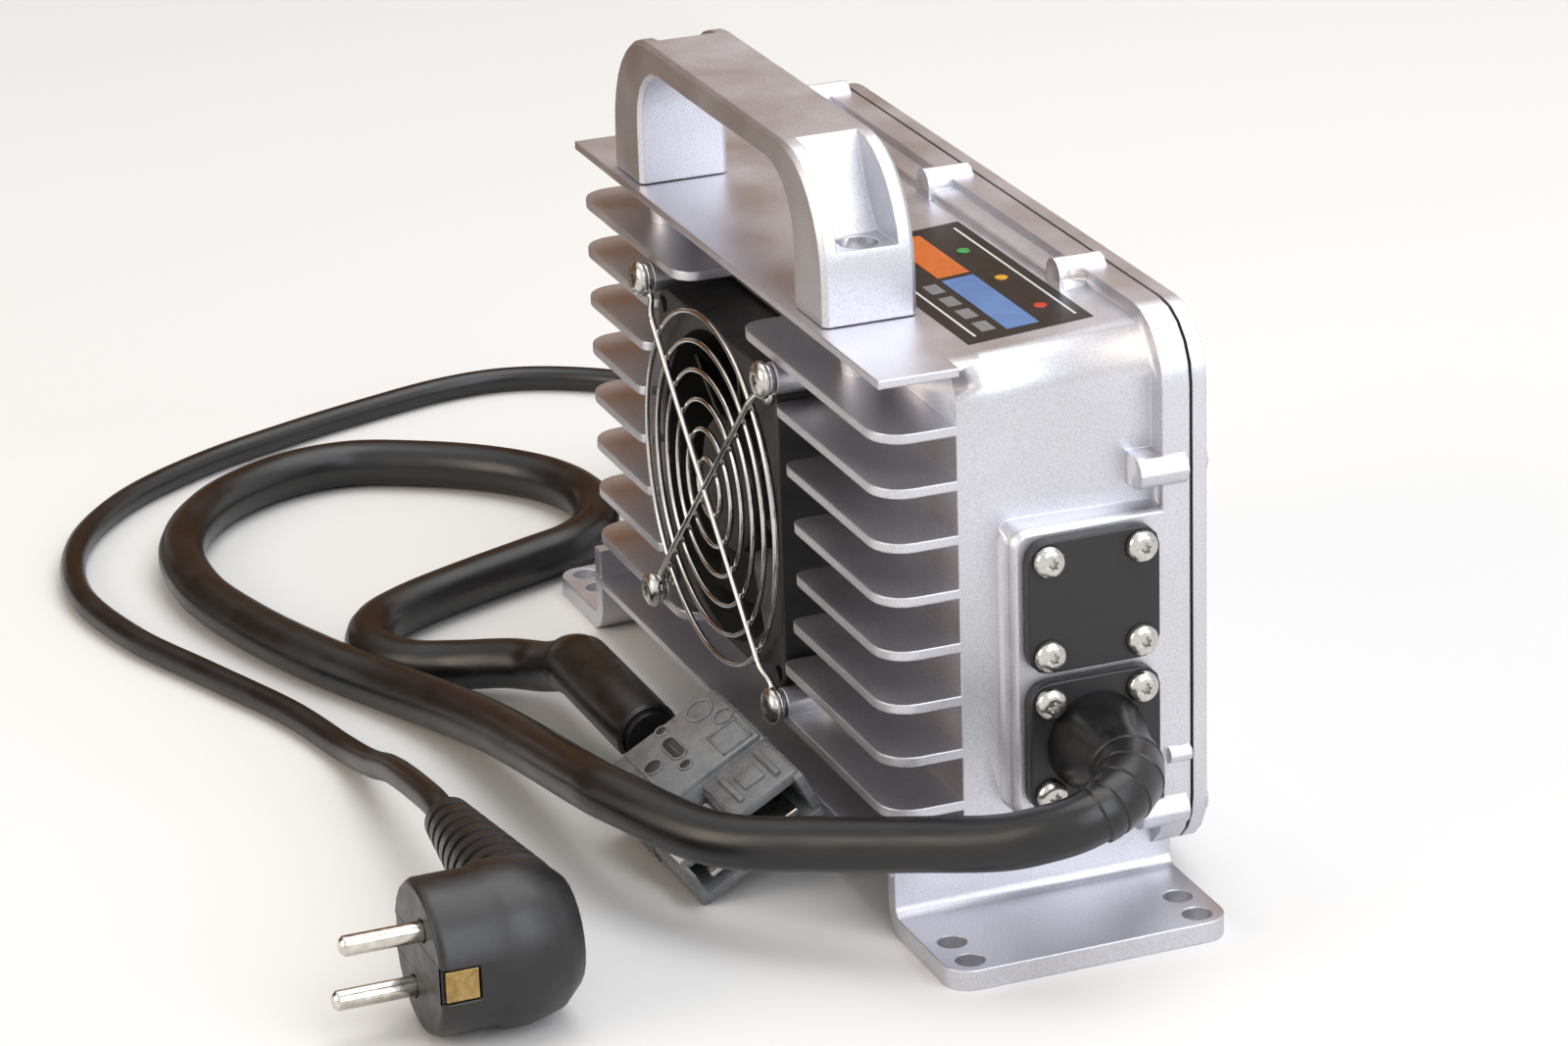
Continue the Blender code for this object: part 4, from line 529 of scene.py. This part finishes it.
class ChargerColours(bpy.types.PropertyGroup):
    """Colours of the main finishes, in linear values."""

    casting: FloatVectorProperty(
        name="Casting", description="Tone of the die castings",
        size=3, subtype="COLOR", default=linear("#D6D6DC"),
    )
    moulding: FloatVectorProperty(
        name="Moulding", description="Tone of the black cover plates",
        size=3, subtype="COLOR", default=linear("#1B1B1D"),
    )
    rubber: FloatVectorProperty(
        name="Rubber", description="Tone of the cable jackets",
        size=3, subtype="COLOR", default=linear("#131314"),
    )


class CHARGER_OT_stage(bpy.types.Operator):
    """Pale floor and backdrop, soft lamps and the camera"""

    bl_idname = "charger.stage"
    bl_label = "Studio stage"

    def execute(self, context):
        self.add_floor()
        self.add_world(context.scene)
        self.add_lamps()
        self.add_cards()
        self.add_camera(context.scene)
        context.scene.view_settings.view_transform = "Standard"
        return {"FINISHED"}

    def add_floor(self):
        """A wide pale floor."""
        mesh = bmesh.new()
        bmesh.ops.create_grid(mesh, x_segments=1, y_segments=1, size=6.0)
        data = bpy.data.meshes.new("floor")
        mesh.to_mesh(data)
        mesh.free()
        floor = bpy.data.objects.new("floor", data)
        bpy.context.scene.collection.objects.link(floor)
        # Matt painted board: nearly white to the camera and to reflections, with the object's soft shadow
        made, _, _ = new_surface(
            "painted_board_matt", {"Base Color": (*linear("#E9E8E6"), 1.0), "Roughness": 0.9}
        )
        data.materials.append(made)

    def add_world(self, scene):
        """A white surround that lights the set half as strongly as it looks."""
        world = bpy.data.worlds.new("studio")
        world.use_nodes = True
        scene.world = world
        tree = world.node_tree
        background = tree.nodes["Background"]
        path = add_node(tree, "ShaderNodeLightPath")
        seen = add_node(
            tree, "ShaderNodeMath", {"operation": "ADD"}, {},
            {0: path.outputs["Is Camera Ray"], 1: path.outputs["Is Glossy Ray"]},
        )
        seen = add_node(
            tree, "ShaderNodeMath", {"operation": "ADD", "use_clamp": True}, {},
            {0: seen.outputs[0], 1: path.outputs["Is Transmission Ray"]},
        )
        level = add_node(
            tree, "ShaderNodeMapRange", {}, {"To Min": 0.5, "To Max": 1.0}, {"Value": seen.outputs[0]}
        )
        background.inputs["Color"].default_value = (1.0, 1.0, 1.0, 1.0)
        tree.links.new(level.outputs["Result"], background.inputs["Strength"])

    def add_lamps(self):
        """Soft lamps at the output end, above and before the fan."""
        # Name, place, point faced, side in metres, power in watts and colour
        lamps = (
            ("end_softbox", (1.5, 0.55, 1.25), (0.1, 0.0, 0.07), 1.6, 22.0, "#F4F7FF"),
            ("top_softbox", (-0.2, 0.4, 1.7), (0.0, 0.0, 0.1), 1.5, 16.0, "#FFFFFF"),
            ("fan_softbox", (0.1, -1.5, 0.75), (0.0, 0.0, 0.07), 0.9, 9.0, "#FFE9CF"),
        )
        for name, place, target, size, power, tone in lamps:
            light = bpy.data.lights.new(name, "AREA")
            light.shape = "SQUARE"
            light.size = size
            light.energy = power
            light.color = linear(tone)
            lamp = bpy.data.objects.new(name, light)
            bpy.context.scene.collection.objects.link(lamp)
            lamp.location = place
            aim = Vector(target) - Vector(place)
            lamp.rotation_euler = aim.to_track_quat("-Z", "Y").to_euler()

    def add_cards(self):
        """Brown cards on the mains side, seen only in reflections, that give the metal its warm tones."""
        # Name, place, point faced, sides in metres and colour
        cards = (
            ("warm_left_card", (-1.35, 0.55, 0.62), (0.0, 0.0, 0.1), (2.0, 1.2), "#85551A"),
            ("warm_front_card", (-1.25, -0.95, 0.62), (0.0, 0.0, 0.1), (1.5, 1.2), "#6E4518"),
            ("warm_table_card", (-0.95, -0.45, 0.004), (-0.95, -0.45, 1.0), (1.3, 1.3), "#5E3F1C"),
        )
        for name, place, target, size, tone in cards:
            mesh = bmesh.new()
            corners = [(-0.5, -0.5), (0.5, -0.5), (0.5, 0.5), (-0.5, 0.5)]
            mesh.faces.new([mesh.verts.new((x * size[0], y * size[1], 0.0)) for x, y in corners])
            data = bpy.data.meshes.new(name)
            mesh.to_mesh(data)
            mesh.free()
            card = bpy.data.objects.new(name, data)
            bpy.context.scene.collection.objects.link(card)
            card.location = place
            card.rotation_euler = (Vector(target) - Vector(place)).to_track_quat("Z", "Y").to_euler()
            card.visible_camera = False
            card.visible_diffuse = False
            card.visible_shadow = False
            made, _, _ = new_surface(name + "_felt", {"Base Color": (*linear(tone), 1.0), "Roughness": 0.95})
            data.materials.append(made)

    def add_camera(self, scene):
        """The camera that sees the charger as the photograph does."""
        camera = bpy.data.cameras.new("camera")
        camera.sensor_fit = "HORIZONTAL"
        camera.sensor_width = 36.0
        camera.lens = CAMERA_LENS
        camera.clip_start = 0.05
        camera.clip_end = 50.0
        holder = bpy.data.objects.new("camera", camera)
        scene.collection.objects.link(holder)
        right = Vector(CAMERA_RIGHT)
        up = Vector(CAMERA_UP)
        back = right.cross(up).normalized()
        up = back.cross(right).normalized()
        turn = Matrix((right, up, back)).transposed().to_4x4()
        holder.matrix_world = Matrix.Translation(CAMERA_PLACE) @ turn
        scene.camera = holder


class CHARGER_OT_castings(bpy.types.Operator):
    """Finned housing, handle and rear cover with rounded casting edges"""

    bl_idname = "charger.castings"
    bl_label = "Castings"

    def execute(self, context):
        # The walls are too thin in places for cut edges, so the finish itself rounds them
        for node_name in ("housing", "handle", "rear_cover"):
            rounded_casting(node_name, FINISHES["casting"], 0.0)
        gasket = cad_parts["cover_gasket"]
        gasket.data.materials.clear()
        gasket.data.materials.append(FINISHES["gasket"])
        return {"FINISHED"}


class CHARGER_OT_fan(bpy.types.Operator):
    """Fan frame and rotor"""

    bl_idname = "charger.fan"
    bl_label = "Fan"

    def execute(self, context):
        edge = context.scene.charger_sizes.moulding_edge
        rounded_casting("fan_frame", FINISHES["fan"], edge)
        rounded_casting("fan_rotor", FINISHES["fan"], 0.0003, "fan", 1, 50.0)
        return {"FINISHED"}


class CHARGER_OT_guard(bpy.types.Operator):
    """Chromed wire guard: rings, crossed struts and screw loops"""

    bl_idname = "charger.guard"
    bl_label = "Fan guard"

    def execute(self, context):
        sizes = context.scene.charger_sizes
        low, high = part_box("fan_guard")
        centre = Vector(((low.x + high.x) / 2, 0.0, (low.z + high.z) / 2))
        front, back = low.y, high.y
        half = GUARD_HALF_SPACING * MM
        strut = sizes.guard_strut / 2
        wire = sizes.guard_wire / 2
        ring_y = front + 2 * strut + wire - 0.15 * MM
        rings = []
        for number in range(1, GUARD_RINGS + 1):
            radius = GUARD_RADIUS * MM * number / GUARD_RINGS
            rings.append(
                [
                    (centre.x + radius * math.cos(a), ring_y, centre.z + radius * math.sin(a))
                    for a in (2 * math.pi * i / 96 for i in range(96))
                ]
            )
        data = wire_curve("guard_rings", rings, wire, 3, range(GUARD_RINGS))
        ring_piece = add_piece("guard_rings", data, FINISHES["wire"])
        # Each strut runs before the rings and bends back to its screw loops: 0 is the front and 1 the back
        struts = []
        for slope in (1, -1):
            along = Vector((1, 0, slope)).normalized()
            reach = half * math.sqrt(2)
            line = []
            for end in (-1, 1):
                part = []
                for place, lift in (
                    (reach - 3.0 * MM, 1.0), (reach - 6.0 * MM, 0.92), (reach - 9.0 * MM, 0.25),
                    (reach - 12.0 * MM, 0.0), (reach - 20.0 * MM, 0.0),
                ):
                    point = centre + along * end * place
                    y = front + strut + lift * (back - front - 2 * strut)
                    part.append((point.x, y, point.z))
                line += part if end < 0 else part[::-1]
            struts.append([tuple(p) for p in smooth_line([Vector(p) / MM for p in line], 1.0 * MM)])
        loops = []
        loop_radius = GUARD_LOOP_RADIUS * MM
        for sx in (-1, 1):
            for sz in (-1, 1):
                x, z = centre.x + sx * half, centre.z + sz * half
                loops.append(
                    [
                        (x + loop_radius * math.cos(a), back - strut, z + loop_radius * math.sin(a))
                        for a in (2 * math.pi * i / 32 for i in range(32))
                    ]
                )
        data = wire_curve("guard_struts", struts + loops, strut, 3, range(2, 6))
        add_piece("guard_struts", data, FINISHES["wire"])
        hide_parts("fan_guard")
        return {"FINISHED"}


class CHARGER_OT_screws(bpy.types.Operator):
    """Pan-head screws with a star recess"""

    bl_idname = "charger.screws"
    bl_label = "Screws"

    def execute(self, context):
        for node_name in sorted(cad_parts):
            if "screw" not in node_name:
                continue
            self.add_screw(node_name)
        return {"FINISHED"}

    def add_screw(self, node_name):
        """A screw head that points out of the side its screw is in."""
        low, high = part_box(node_name)
        size = high - low
        axis = max(range(3), key=lambda i: size[i])
        if node_name.startswith(("guard", "fan")):
            out = -1
        elif axis == 0:
            out = 1 if low.x > 0 else -1
        else:
            out = 1
        direction = Vector([out if i == axis else 0 for i in range(3)])
        radius = min(size) / 2 / math.cos(math.pi / 8)
        height = HEAD_HEIGHTS.get(node_name.split("_")[0], PLAIN_HEAD_HEIGHT) * MM
        middle = (low + high) / 2
        base = middle.copy()
        base[axis] = (high[axis] if out > 0 else low[axis]) - out * height
        if node_name.startswith("cover_screw"):
            height *= COVER_HEAD_SHARE
        data = mesh_from(node_name + "_head", self.head_mesh(radius, height), 30.0)
        head = add_piece(node_name + "_head", data, FINISHES["screw"])
        turn = sum(ord(letter) for letter in node_name) % 60
        head.matrix_world = (
            Matrix.Translation(base)
            @ direction.to_track_quat("Z", "Y").to_matrix().to_4x4()
            @ Matrix.Rotation(math.radians(turn), 4, "Z")
        )
        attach(head, BODY)
        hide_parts(node_name)

    def head_mesh(self, radius, height):
        """A domed head on a short shank, with a six-lobed recess."""
        sides = 36
        # Shares of the radius and of the height, and the depth of the six lobes
        rows = (
            (0.05, 0.45, 0.0), (0.30, 0.45, 0.22), (0.34, 0.98, 0.22), (0.46, 1.0, 0.05),
            (0.66, 0.93, 0.0), (0.84, 0.78, 0.0), (0.96, 0.52, 0.0), (1.0, 0.30, 0.0), (1.0, 0.0, 0.0),
            (0.5, 0.0, 0.0), (0.5, -2.2, 0.0),
        )
        loops = []
        for share, rise, lobe in rows:
            row = []
            for i in range(sides):
                angle = 2 * math.pi * i / sides
                r = radius * share * (1 + lobe * math.cos(6 * angle))
                row.append((r * math.cos(angle), r * math.sin(angle), height * rise))
            loops.append(row)
        return loft(loops)


class CHARGER_OT_plates(bpy.types.Operator):
    """Black connection plates and the ribbed boots that let the cables out"""

    bl_idname = "charger.plates"
    bl_label = "Connection plates"

    def execute(self, context):
        edge = context.scene.charger_sizes.moulding_edge
        for node_name in ("output_plate", "signal_plate", "input_plate"):
            rounded_casting(node_name, FINISHES["nylon"], edge)
        # Distances from the plate along each cable, with the boot's radius there, in millimetres
        output = [(0.0, 11.9), (1.0, 12.0), (11.8, 8.9)]
        # Along each fold and each rib, the distance from its start and the drop below its radius
        for fold in range(4):
            start, outer = 13.0 + 5.2 * fold, 8.8 - 0.45 * fold
            steps = ((0.0, 0.0), (3.9, 0.2), (4.4, 0.55), (4.8, 0.5))
            output += [(start + along, outer - drop) for along, drop in steps]
        output += [(34.0, 7.2), (36.0, 7.0), (36.6, 6.4)]
        relief = [(0.0, 9.3), (1.0, 9.5)]
        for rib in range(6):
            start, outer = 2.0 + 3.7 * rib, 9.4 - 0.62 * rib
            steps = ((0.0, 0.0), (2.2, 0.3), (2.5, 0.75), (3.4, 0.85))
            relief += [(start + along, outer - drop) for along, drop in steps]
        relief += [(25.0, 5.2), (30.0, 4.4), (30.6, 3.4)]
        for name, side, route, radii in (
            ("output_boot", 1, OUTPUT_ROUTE, output), ("input_boot", -1, MAINS_INNER_ROUTE, relief)
        ):
            start = ((side * PLATE_FACE, *GLAND), (side * (PLATE_FACE + 5.5), *GLAND))
            line = smooth_line(start + route)
            data = mesh_from(name, sleeve_on_line(line, radii), 28.0)
            add_piece(name, data, FINISHES["sleeve"])
        return {"FINISHED"}


class CHARGER_OT_leads(bpy.types.Operator):
    """The output cable with its sleeve, and the mains cable with its coil and tie"""

    bl_idname = "charger.leads"
    bl_label = "Leads"

    def execute(self, context):
        self.add_output(context.scene.charger_sizes.output_cable)
        self.add_mains(context.scene.charger_sizes.mains_cable)
        return {"FINISHED"}

    def add_output(self, diameter):
        """The output cable, which runs straight into the connector, and the shrunk sleeve at its end."""
        pose = connector_pose()
        back = (pose.to_3x3() @ Vector((-1, 0, 0))).normalized()
        rear = pose @ Vector((-CONNECTOR_SIZE[0] / 2 * MM, 0, 0))
        tail = [tuple((rear + back * distance * MM) / MM) for distance in (50.0, 38.0, 20.0, 8.0)]
        line = smooth_line(OUTPUT_ROUTE + tuple(tail))
        data = wire_curve("output_lead", [line], diameter / 2, 6)
        cable = add_piece("output_lead", data, FINISHES["rubber"])
        back_line = line[::-1]
        # Distances along the cable from the connector, with the sleeve's radius there, in millimetres
        radii = [(2.0, 7.2), (2.6, 8.1), (40.0, 8.1), (44.0, 7.9), (48.0, 7.6), (49.0, 7.0)]
        sleeve_data = mesh_from("shrink_sleeve", sleeve_on_line(back_line, radii), 30.0)
        sleeve = add_piece("shrink_sleeve", sleeve_data, FINISHES["sleeve"])
        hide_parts("output_cable")
        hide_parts("cable_sleeve")

    def add_mains(self, diameter):
        """The mains cable with its coil, and the tie round the coil."""
        # The last points lie before the relief's end, at it and inside it
        ending = tuple((RELIEF_END + past, *RELIEF_LINE) for past in (-12.0, 0.0, 11.3))
        line = smooth_line(MAINS_INNER_ROUTE + self.coil_points() + MAINS_OUTER_ROUTE + ending)
        data = wire_curve("mains_lead", [line], diameter / 2, 5)
        cable = add_piece("mains_lead", data, FINISHES["rubber"])
        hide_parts("mains_cable_inner", "mains_coil", "mains_cable_outer")
        tie = rounded_casting("coil_tie", FINISHES["nylon"], 0.0003)

    def coil_points(self):
        """Three and a half turns, two wide and two high, from the inner route's end to the outer's start."""
        start, end = COIL_START, COIL_END
        # Turn angle in degrees, then the distance from the coil's middle and the height of the cable's centre
        stations = (
            (start, 48.8, 5.0), (start + 25, 45.8, 3.8), (start + 55, 42.0, 3.7), (start + 300, 41.6, 3.7),
            (start + 345, 38.0, 3.7), (start + 375, 34.6, 3.7), (start + 640, 34.5, 3.7),
            (start + 690, 34.5, 7.2), (start + 735, 34.5, 10.6), (start + 960, 34.5, 10.6),
            (start + 1010, 38.0, 10.6), (start + 1050, 41.5, 10.6), (end - 80, 41.5, 10.6),
            (end - 55, 44.5, 10.0), (end - 30, 47.4, 7.6), (end, 48.9, 3.7),
        )
        points = []
        angle = start + 20
        while angle < end - 12:
            for first, second in zip(stations, stations[1:]):
                if first[0] <= angle <= second[0]:
                    share = (angle - first[0]) / (second[0] - first[0])
                    radius = first[1] + share * (second[1] - first[1])
                    height = first[2] + share * (second[2] - first[2])
                    break
            turn = math.radians(angle)
            x = COIL_CENTRE[0] + radius * math.cos(turn)
            y = COIL_CENTRE[1] + radius * math.sin(turn)
            points.append((x, y, height))
            angle += 15
        return tuple(points)


class CHARGER_OT_connector(bpy.types.Operator):
    """Two-pole battery connector with its contacts"""

    bl_idname = "charger.connector"
    bl_label = "Battery connector"

    def execute(self, context):
        to_place = connector_pose() @ Matrix.Scale(MM, 4)
        half = [side / 2 for side in CONNECTOR_SIZE]
        shell = bmesh.new()
        # Two corners and the edge of each block, in millimetres from the connector's middle: the base and the
        # deck, the tray below, the walls of the mouths, the tongue block with its ridges, and the front step
        for low, high, edge in (
            ((-half[0], -half[1], -half[2]), (3.4, half[1], half[2] - 1.2), 1.0),
            ((-half[0] + 0.7, -half[1] + 0.9, 0.0), (2.8, half[1] - 0.9, half[2]), 0.8),
            ((-half[0] + 0.2, -half[1], -half[2]), (half[0] - 0.6, half[1], -half[2] + 3.2), 1.5),
            ((2.0, -half[1], -half[2] + 0.6), (half[0] - 0.8, -half[1] + 2.4, 1.6), 0.6),
            ((2.0, half[1] - 2.4, -half[2]), (half[0] - 2.0, half[1], 5.4), 0.6),
            ((2.0, -1.6, -half[2]), (half[0] - 1.0, 1.0, 4.6), 0.6),
            ((2.0, -1.0, 3.4), (20.2, half[1] - 0.6, 6.2), 0.8),
            ((5.0, 2.5, 5.0), (17.5, 4.0, 7.2), 0.5),
            ((5.0, 13.0, 5.0), (17.5, 14.6, 7.2), 0.5),
            ((8.0, 5.5, 5.0), (15.0, 11.5, 6.9), 0.6),
            ((2.0, -half[1] + 0.6, 0.2), (18.0, -1.0, 1.8), 0.4),
        ):
            add_slab(shell, low, high, edge)
        # Gripping ribs down both long sides
        for side in (-1, 1):
            for rib in range(9):
                x = -20.5 + 2.6 * rib
                low_y, high_y = sorted((side * half[1], side * (half[1] + 0.5)))
                add_slab(shell, (x, low_y, -6.0), (x + 1.2, high_y, 4.8), 0.2)
        # Raised frames and rims on the deck
        top = half[2]
        for x0, y0, x1, y1 in ((-22.6, -16.2, -2.0, -8.6), (-8.2, 7.6, 1.4, 16.2)):
            for low, high in (
                ((x0, y0), (x1, y0 + 0.7)), ((x0, y1 - 0.7), (x1, y1)),
                ((x0, y0), (x0 + 0.7, y1)), ((x1 - 0.7, y0), (x1, y1)),
            ):
                add_slab(shell, (*low, top - 0.4), (*high, top + 0.35), 0.15)
        # Place and radius of each round rim
        bosses = (
            (-21.0, 1.2, 1.9), (-4.8, -0.4, 1.9), (-11.6, -6.4, 2.7), (-11.3, 14.4, 2.7), (-18.6, 11.2, 3.7)
        )
        for x, y, radius in bosses:
            add_rim(shell, (x, y, top), radius, radius - 0.6, 0.0)
        add_rim(shell, (-12.7, 0.4, top), 2.2, 1.6, 2.8)
        bmesh.ops.transform(shell, matrix=to_place, verts=shell.verts)
        data = mesh_from("connector_shell", shell, 40.0)
        piece = add_piece("connector_shell", data, FINISHES["connector"])
        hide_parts("connector_housing")
        # Black discs over the holes and the slot are painted shade: the holes are not cut, and the discs
        # stand for their shadowed floors
        painted_hole_shade = bmesh.new()
        for x, y, radius in bosses[:3]:
            add_rim(painted_hole_shade, (x, y, top + 0.05), radius - 0.6, 0.05, 0.0, 0.1)
        add_rim(painted_hole_shade, (-12.7, 0.4, top + 0.05), 1.6, 0.05, 2.8, 0.1)
        bmesh.ops.transform(painted_hole_shade, matrix=to_place, verts=painted_hole_shade.verts)
        data = mesh_from("connector_painted_hole_shade", painted_hole_shade)
        add_piece("connector_painted_hole_shade", data, FINISHES["film_black_and_painted_shade"])
        # A blank white tab on the front step
        tab = bmesh.new()
        add_slab(tab, (4.2, -17.0, 1.7), (16.4, -2.2, 2.3), 0.2)
        bmesh.ops.transform(tab, matrix=to_place, verts=tab.verts)
        data = mesh_from("connector_tab", tab)
        add_piece("connector_tab", data, FINISHES["film_white"])
        for number in (1, 2):
            rounded_casting(f"connector_contact_{number}", FINISHES["nickel"], 0.0003)
        return {"FINISHED"}


class CHARGER_OT_plug(bpy.types.Operator):
    """Mains plug with its pins and earth contacts"""

    bl_idname = "charger.plug"
    bl_label = "Mains plug"

    def execute(self, context):
        rounded_casting("plug_body", FINISHES["plug"], 0.0005)
        # Segments of the relief, thicker towards the plug; in each, the distance from its start and the rise
        line = [Vector((x, *RELIEF_LINE)) * MM for x in (35.2, 60.0, 90.0)]
        radii = [(0.0, 4.7)]
        for segment in range(9):
            start = 0.4 + 5.4 * segment
            outer = 5.9 + 0.58 * segment
            steps = ((0.0, -1.0), (0.3, 0.0), (3.6, 0.35), (3.9, -0.6), (5.1, -0.6))
            radii += [(start + along, outer + rise) for along, rise in steps]
        data = mesh_from("plug_relief", sleeve_on_line(line, radii), 30.0)
        add_piece("plug_relief", data, FINISHES["plug"])
        for number in (1, 2):
            rounded_casting(f"plug_pin_{number}", FINISHES["nickel"], 0.0003)
            rounded_casting(f"earth_contact_{number}", FINISHES["brass"], 0.0002)
        return {"FINISHED"}


class CHARGER_OT_label(bpy.types.Operator):
    """Printed film on the top face, with plain coloured fields and charge lamps"""

    bl_idname = "charger.label"
    bl_label = "Label"

    def execute(self, context):
        self.add_field("label_film", (10.0, 87.3), (27.4, 58.2), "film_black_and_painted_shade", 0.0, 0.15)
        # Name, extent along X, extent behind the fins' fronts and finish
        fields = (
            ("label_orange", (14.0, 44.0), (38.5, 46.5), "film_orange"),
            ("label_blue", (46.0, 83.5), (38.5, 46.5), "film_blue"),
            ("label_line_rear", (14.0, 83.5), (55.2, 55.8), "film_white"),
            ("label_line_front", (14.0, 83.5), (30.4, 31.0), "film_white"),
        )
        for name, across, back, finish_name in fields:
            self.add_field(name, across, back, finish_name, 0.15, 0.05)
        for number in range(4):
            middle = 50.0 + 9.5 * number
            across = (middle - 3.2, middle + 3.2)
            self.add_field(f"label_mark_{number + 1}", across, (33.2, 36.6), "film_grey", 0.15, 0.05)
        for tone, x in (("green", 30.0), ("amber", 52.0), ("red", 74.0)):
            profile = [(0, 0), (1.6 * MM, 0), (1.5 * MM, 0.25 * MM), (0, 0.4 * MM)]
            data = mesh_from(f"lamp_{tone}", turned(profile, 20))
            lamp = add_piece(f"lamp_{tone}", data, FINISHES[f"lens_{tone}"])
            lamp.matrix_world = Matrix.Translation(self.on_top(x, 51.0, 0.15))
            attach(lamp, BODY)
        return {"FINISHED"}

    def on_top(self, x, behind_fins, lift):
        """A point above the housing's top face, which rises towards the rear; distances in millimetres."""
        rise = max(0.0, TOP_RISE * (behind_fins - RISE_START) / RISE_LENGTH)
        return Vector((x, behind_fins - FIN_FRONTS, TOP_HEIGHT + rise + lift)) * MM

    def add_field(self, name, across, back, finish, lift, thick):
        """A thin field of print on the top face, between two places along X and two behind the fins."""
        corners = [(across[0], back[0]), (across[1], back[0]), (across[1], back[1]), (across[0], back[1])]
        rows = [[self.on_top(x, y, lift + level) for x, y in corners] for level in (0.02, thick)]
        add_piece(name, mesh_from(name, loft(rows)), FINISHES[finish])


class CHARGER_PT_panel(bpy.types.Panel):
    """Lists the charger's pieces with their sizes and colours"""

    bl_idname = "CHARGER_PT_panel"
    bl_label = "Battery charger"
    bl_space_type = "VIEW_3D"
    bl_region_type = "UI"
    bl_category = "Charger"

    def draw(self, context):
        layout = self.layout
        for group in (context.scene.charger_sizes, context.scene.charger_colours):
            column = layout.column()
            for name in type(group).__annotations__:
                column.prop(group, name)
        for operator in OPERATORS:
            layout.operator(operator.bl_idname)


OPERATORS = (
    CHARGER_OT_stage,
    CHARGER_OT_castings,
    CHARGER_OT_fan,
    CHARGER_OT_guard,
    CHARGER_OT_screws,
    CHARGER_OT_plates,
    CHARGER_OT_connector,
    CHARGER_OT_plug,
    CHARGER_OT_leads,
    CHARGER_OT_label,
)
CLASSES = (ChargerSizes, ChargerColours, *OPERATORS, CHARGER_PT_panel)


def register():
    for cls in CLASSES:
        bpy.utils.register_class(cls)
    bpy.types.Scene.charger_sizes = PointerProperty(type=ChargerSizes)
    bpy.types.Scene.charger_colours = PointerProperty(type=ChargerColours)


def unregister():
    del bpy.types.Scene.charger_colours
    del bpy.types.Scene.charger_sizes
    for cls in reversed(CLASSES):
        bpy.utils.unregister_class(cls)


def main():
    register()
    FINISHES.update(make_finishes(bpy.context.scene.charger_colours, bpy.context.scene.charger_sizes))
    bpy.ops.charger.stage()
    bpy.ops.charger.castings()
    bpy.ops.charger.fan()
    bpy.ops.charger.guard()
    bpy.ops.charger.screws()
    bpy.ops.charger.plates()
    bpy.ops.charger.connector()
    bpy.ops.charger.plug()
    bpy.ops.charger.leads()
    bpy.ops.charger.label()


if __name__ == "__main__":
    main()
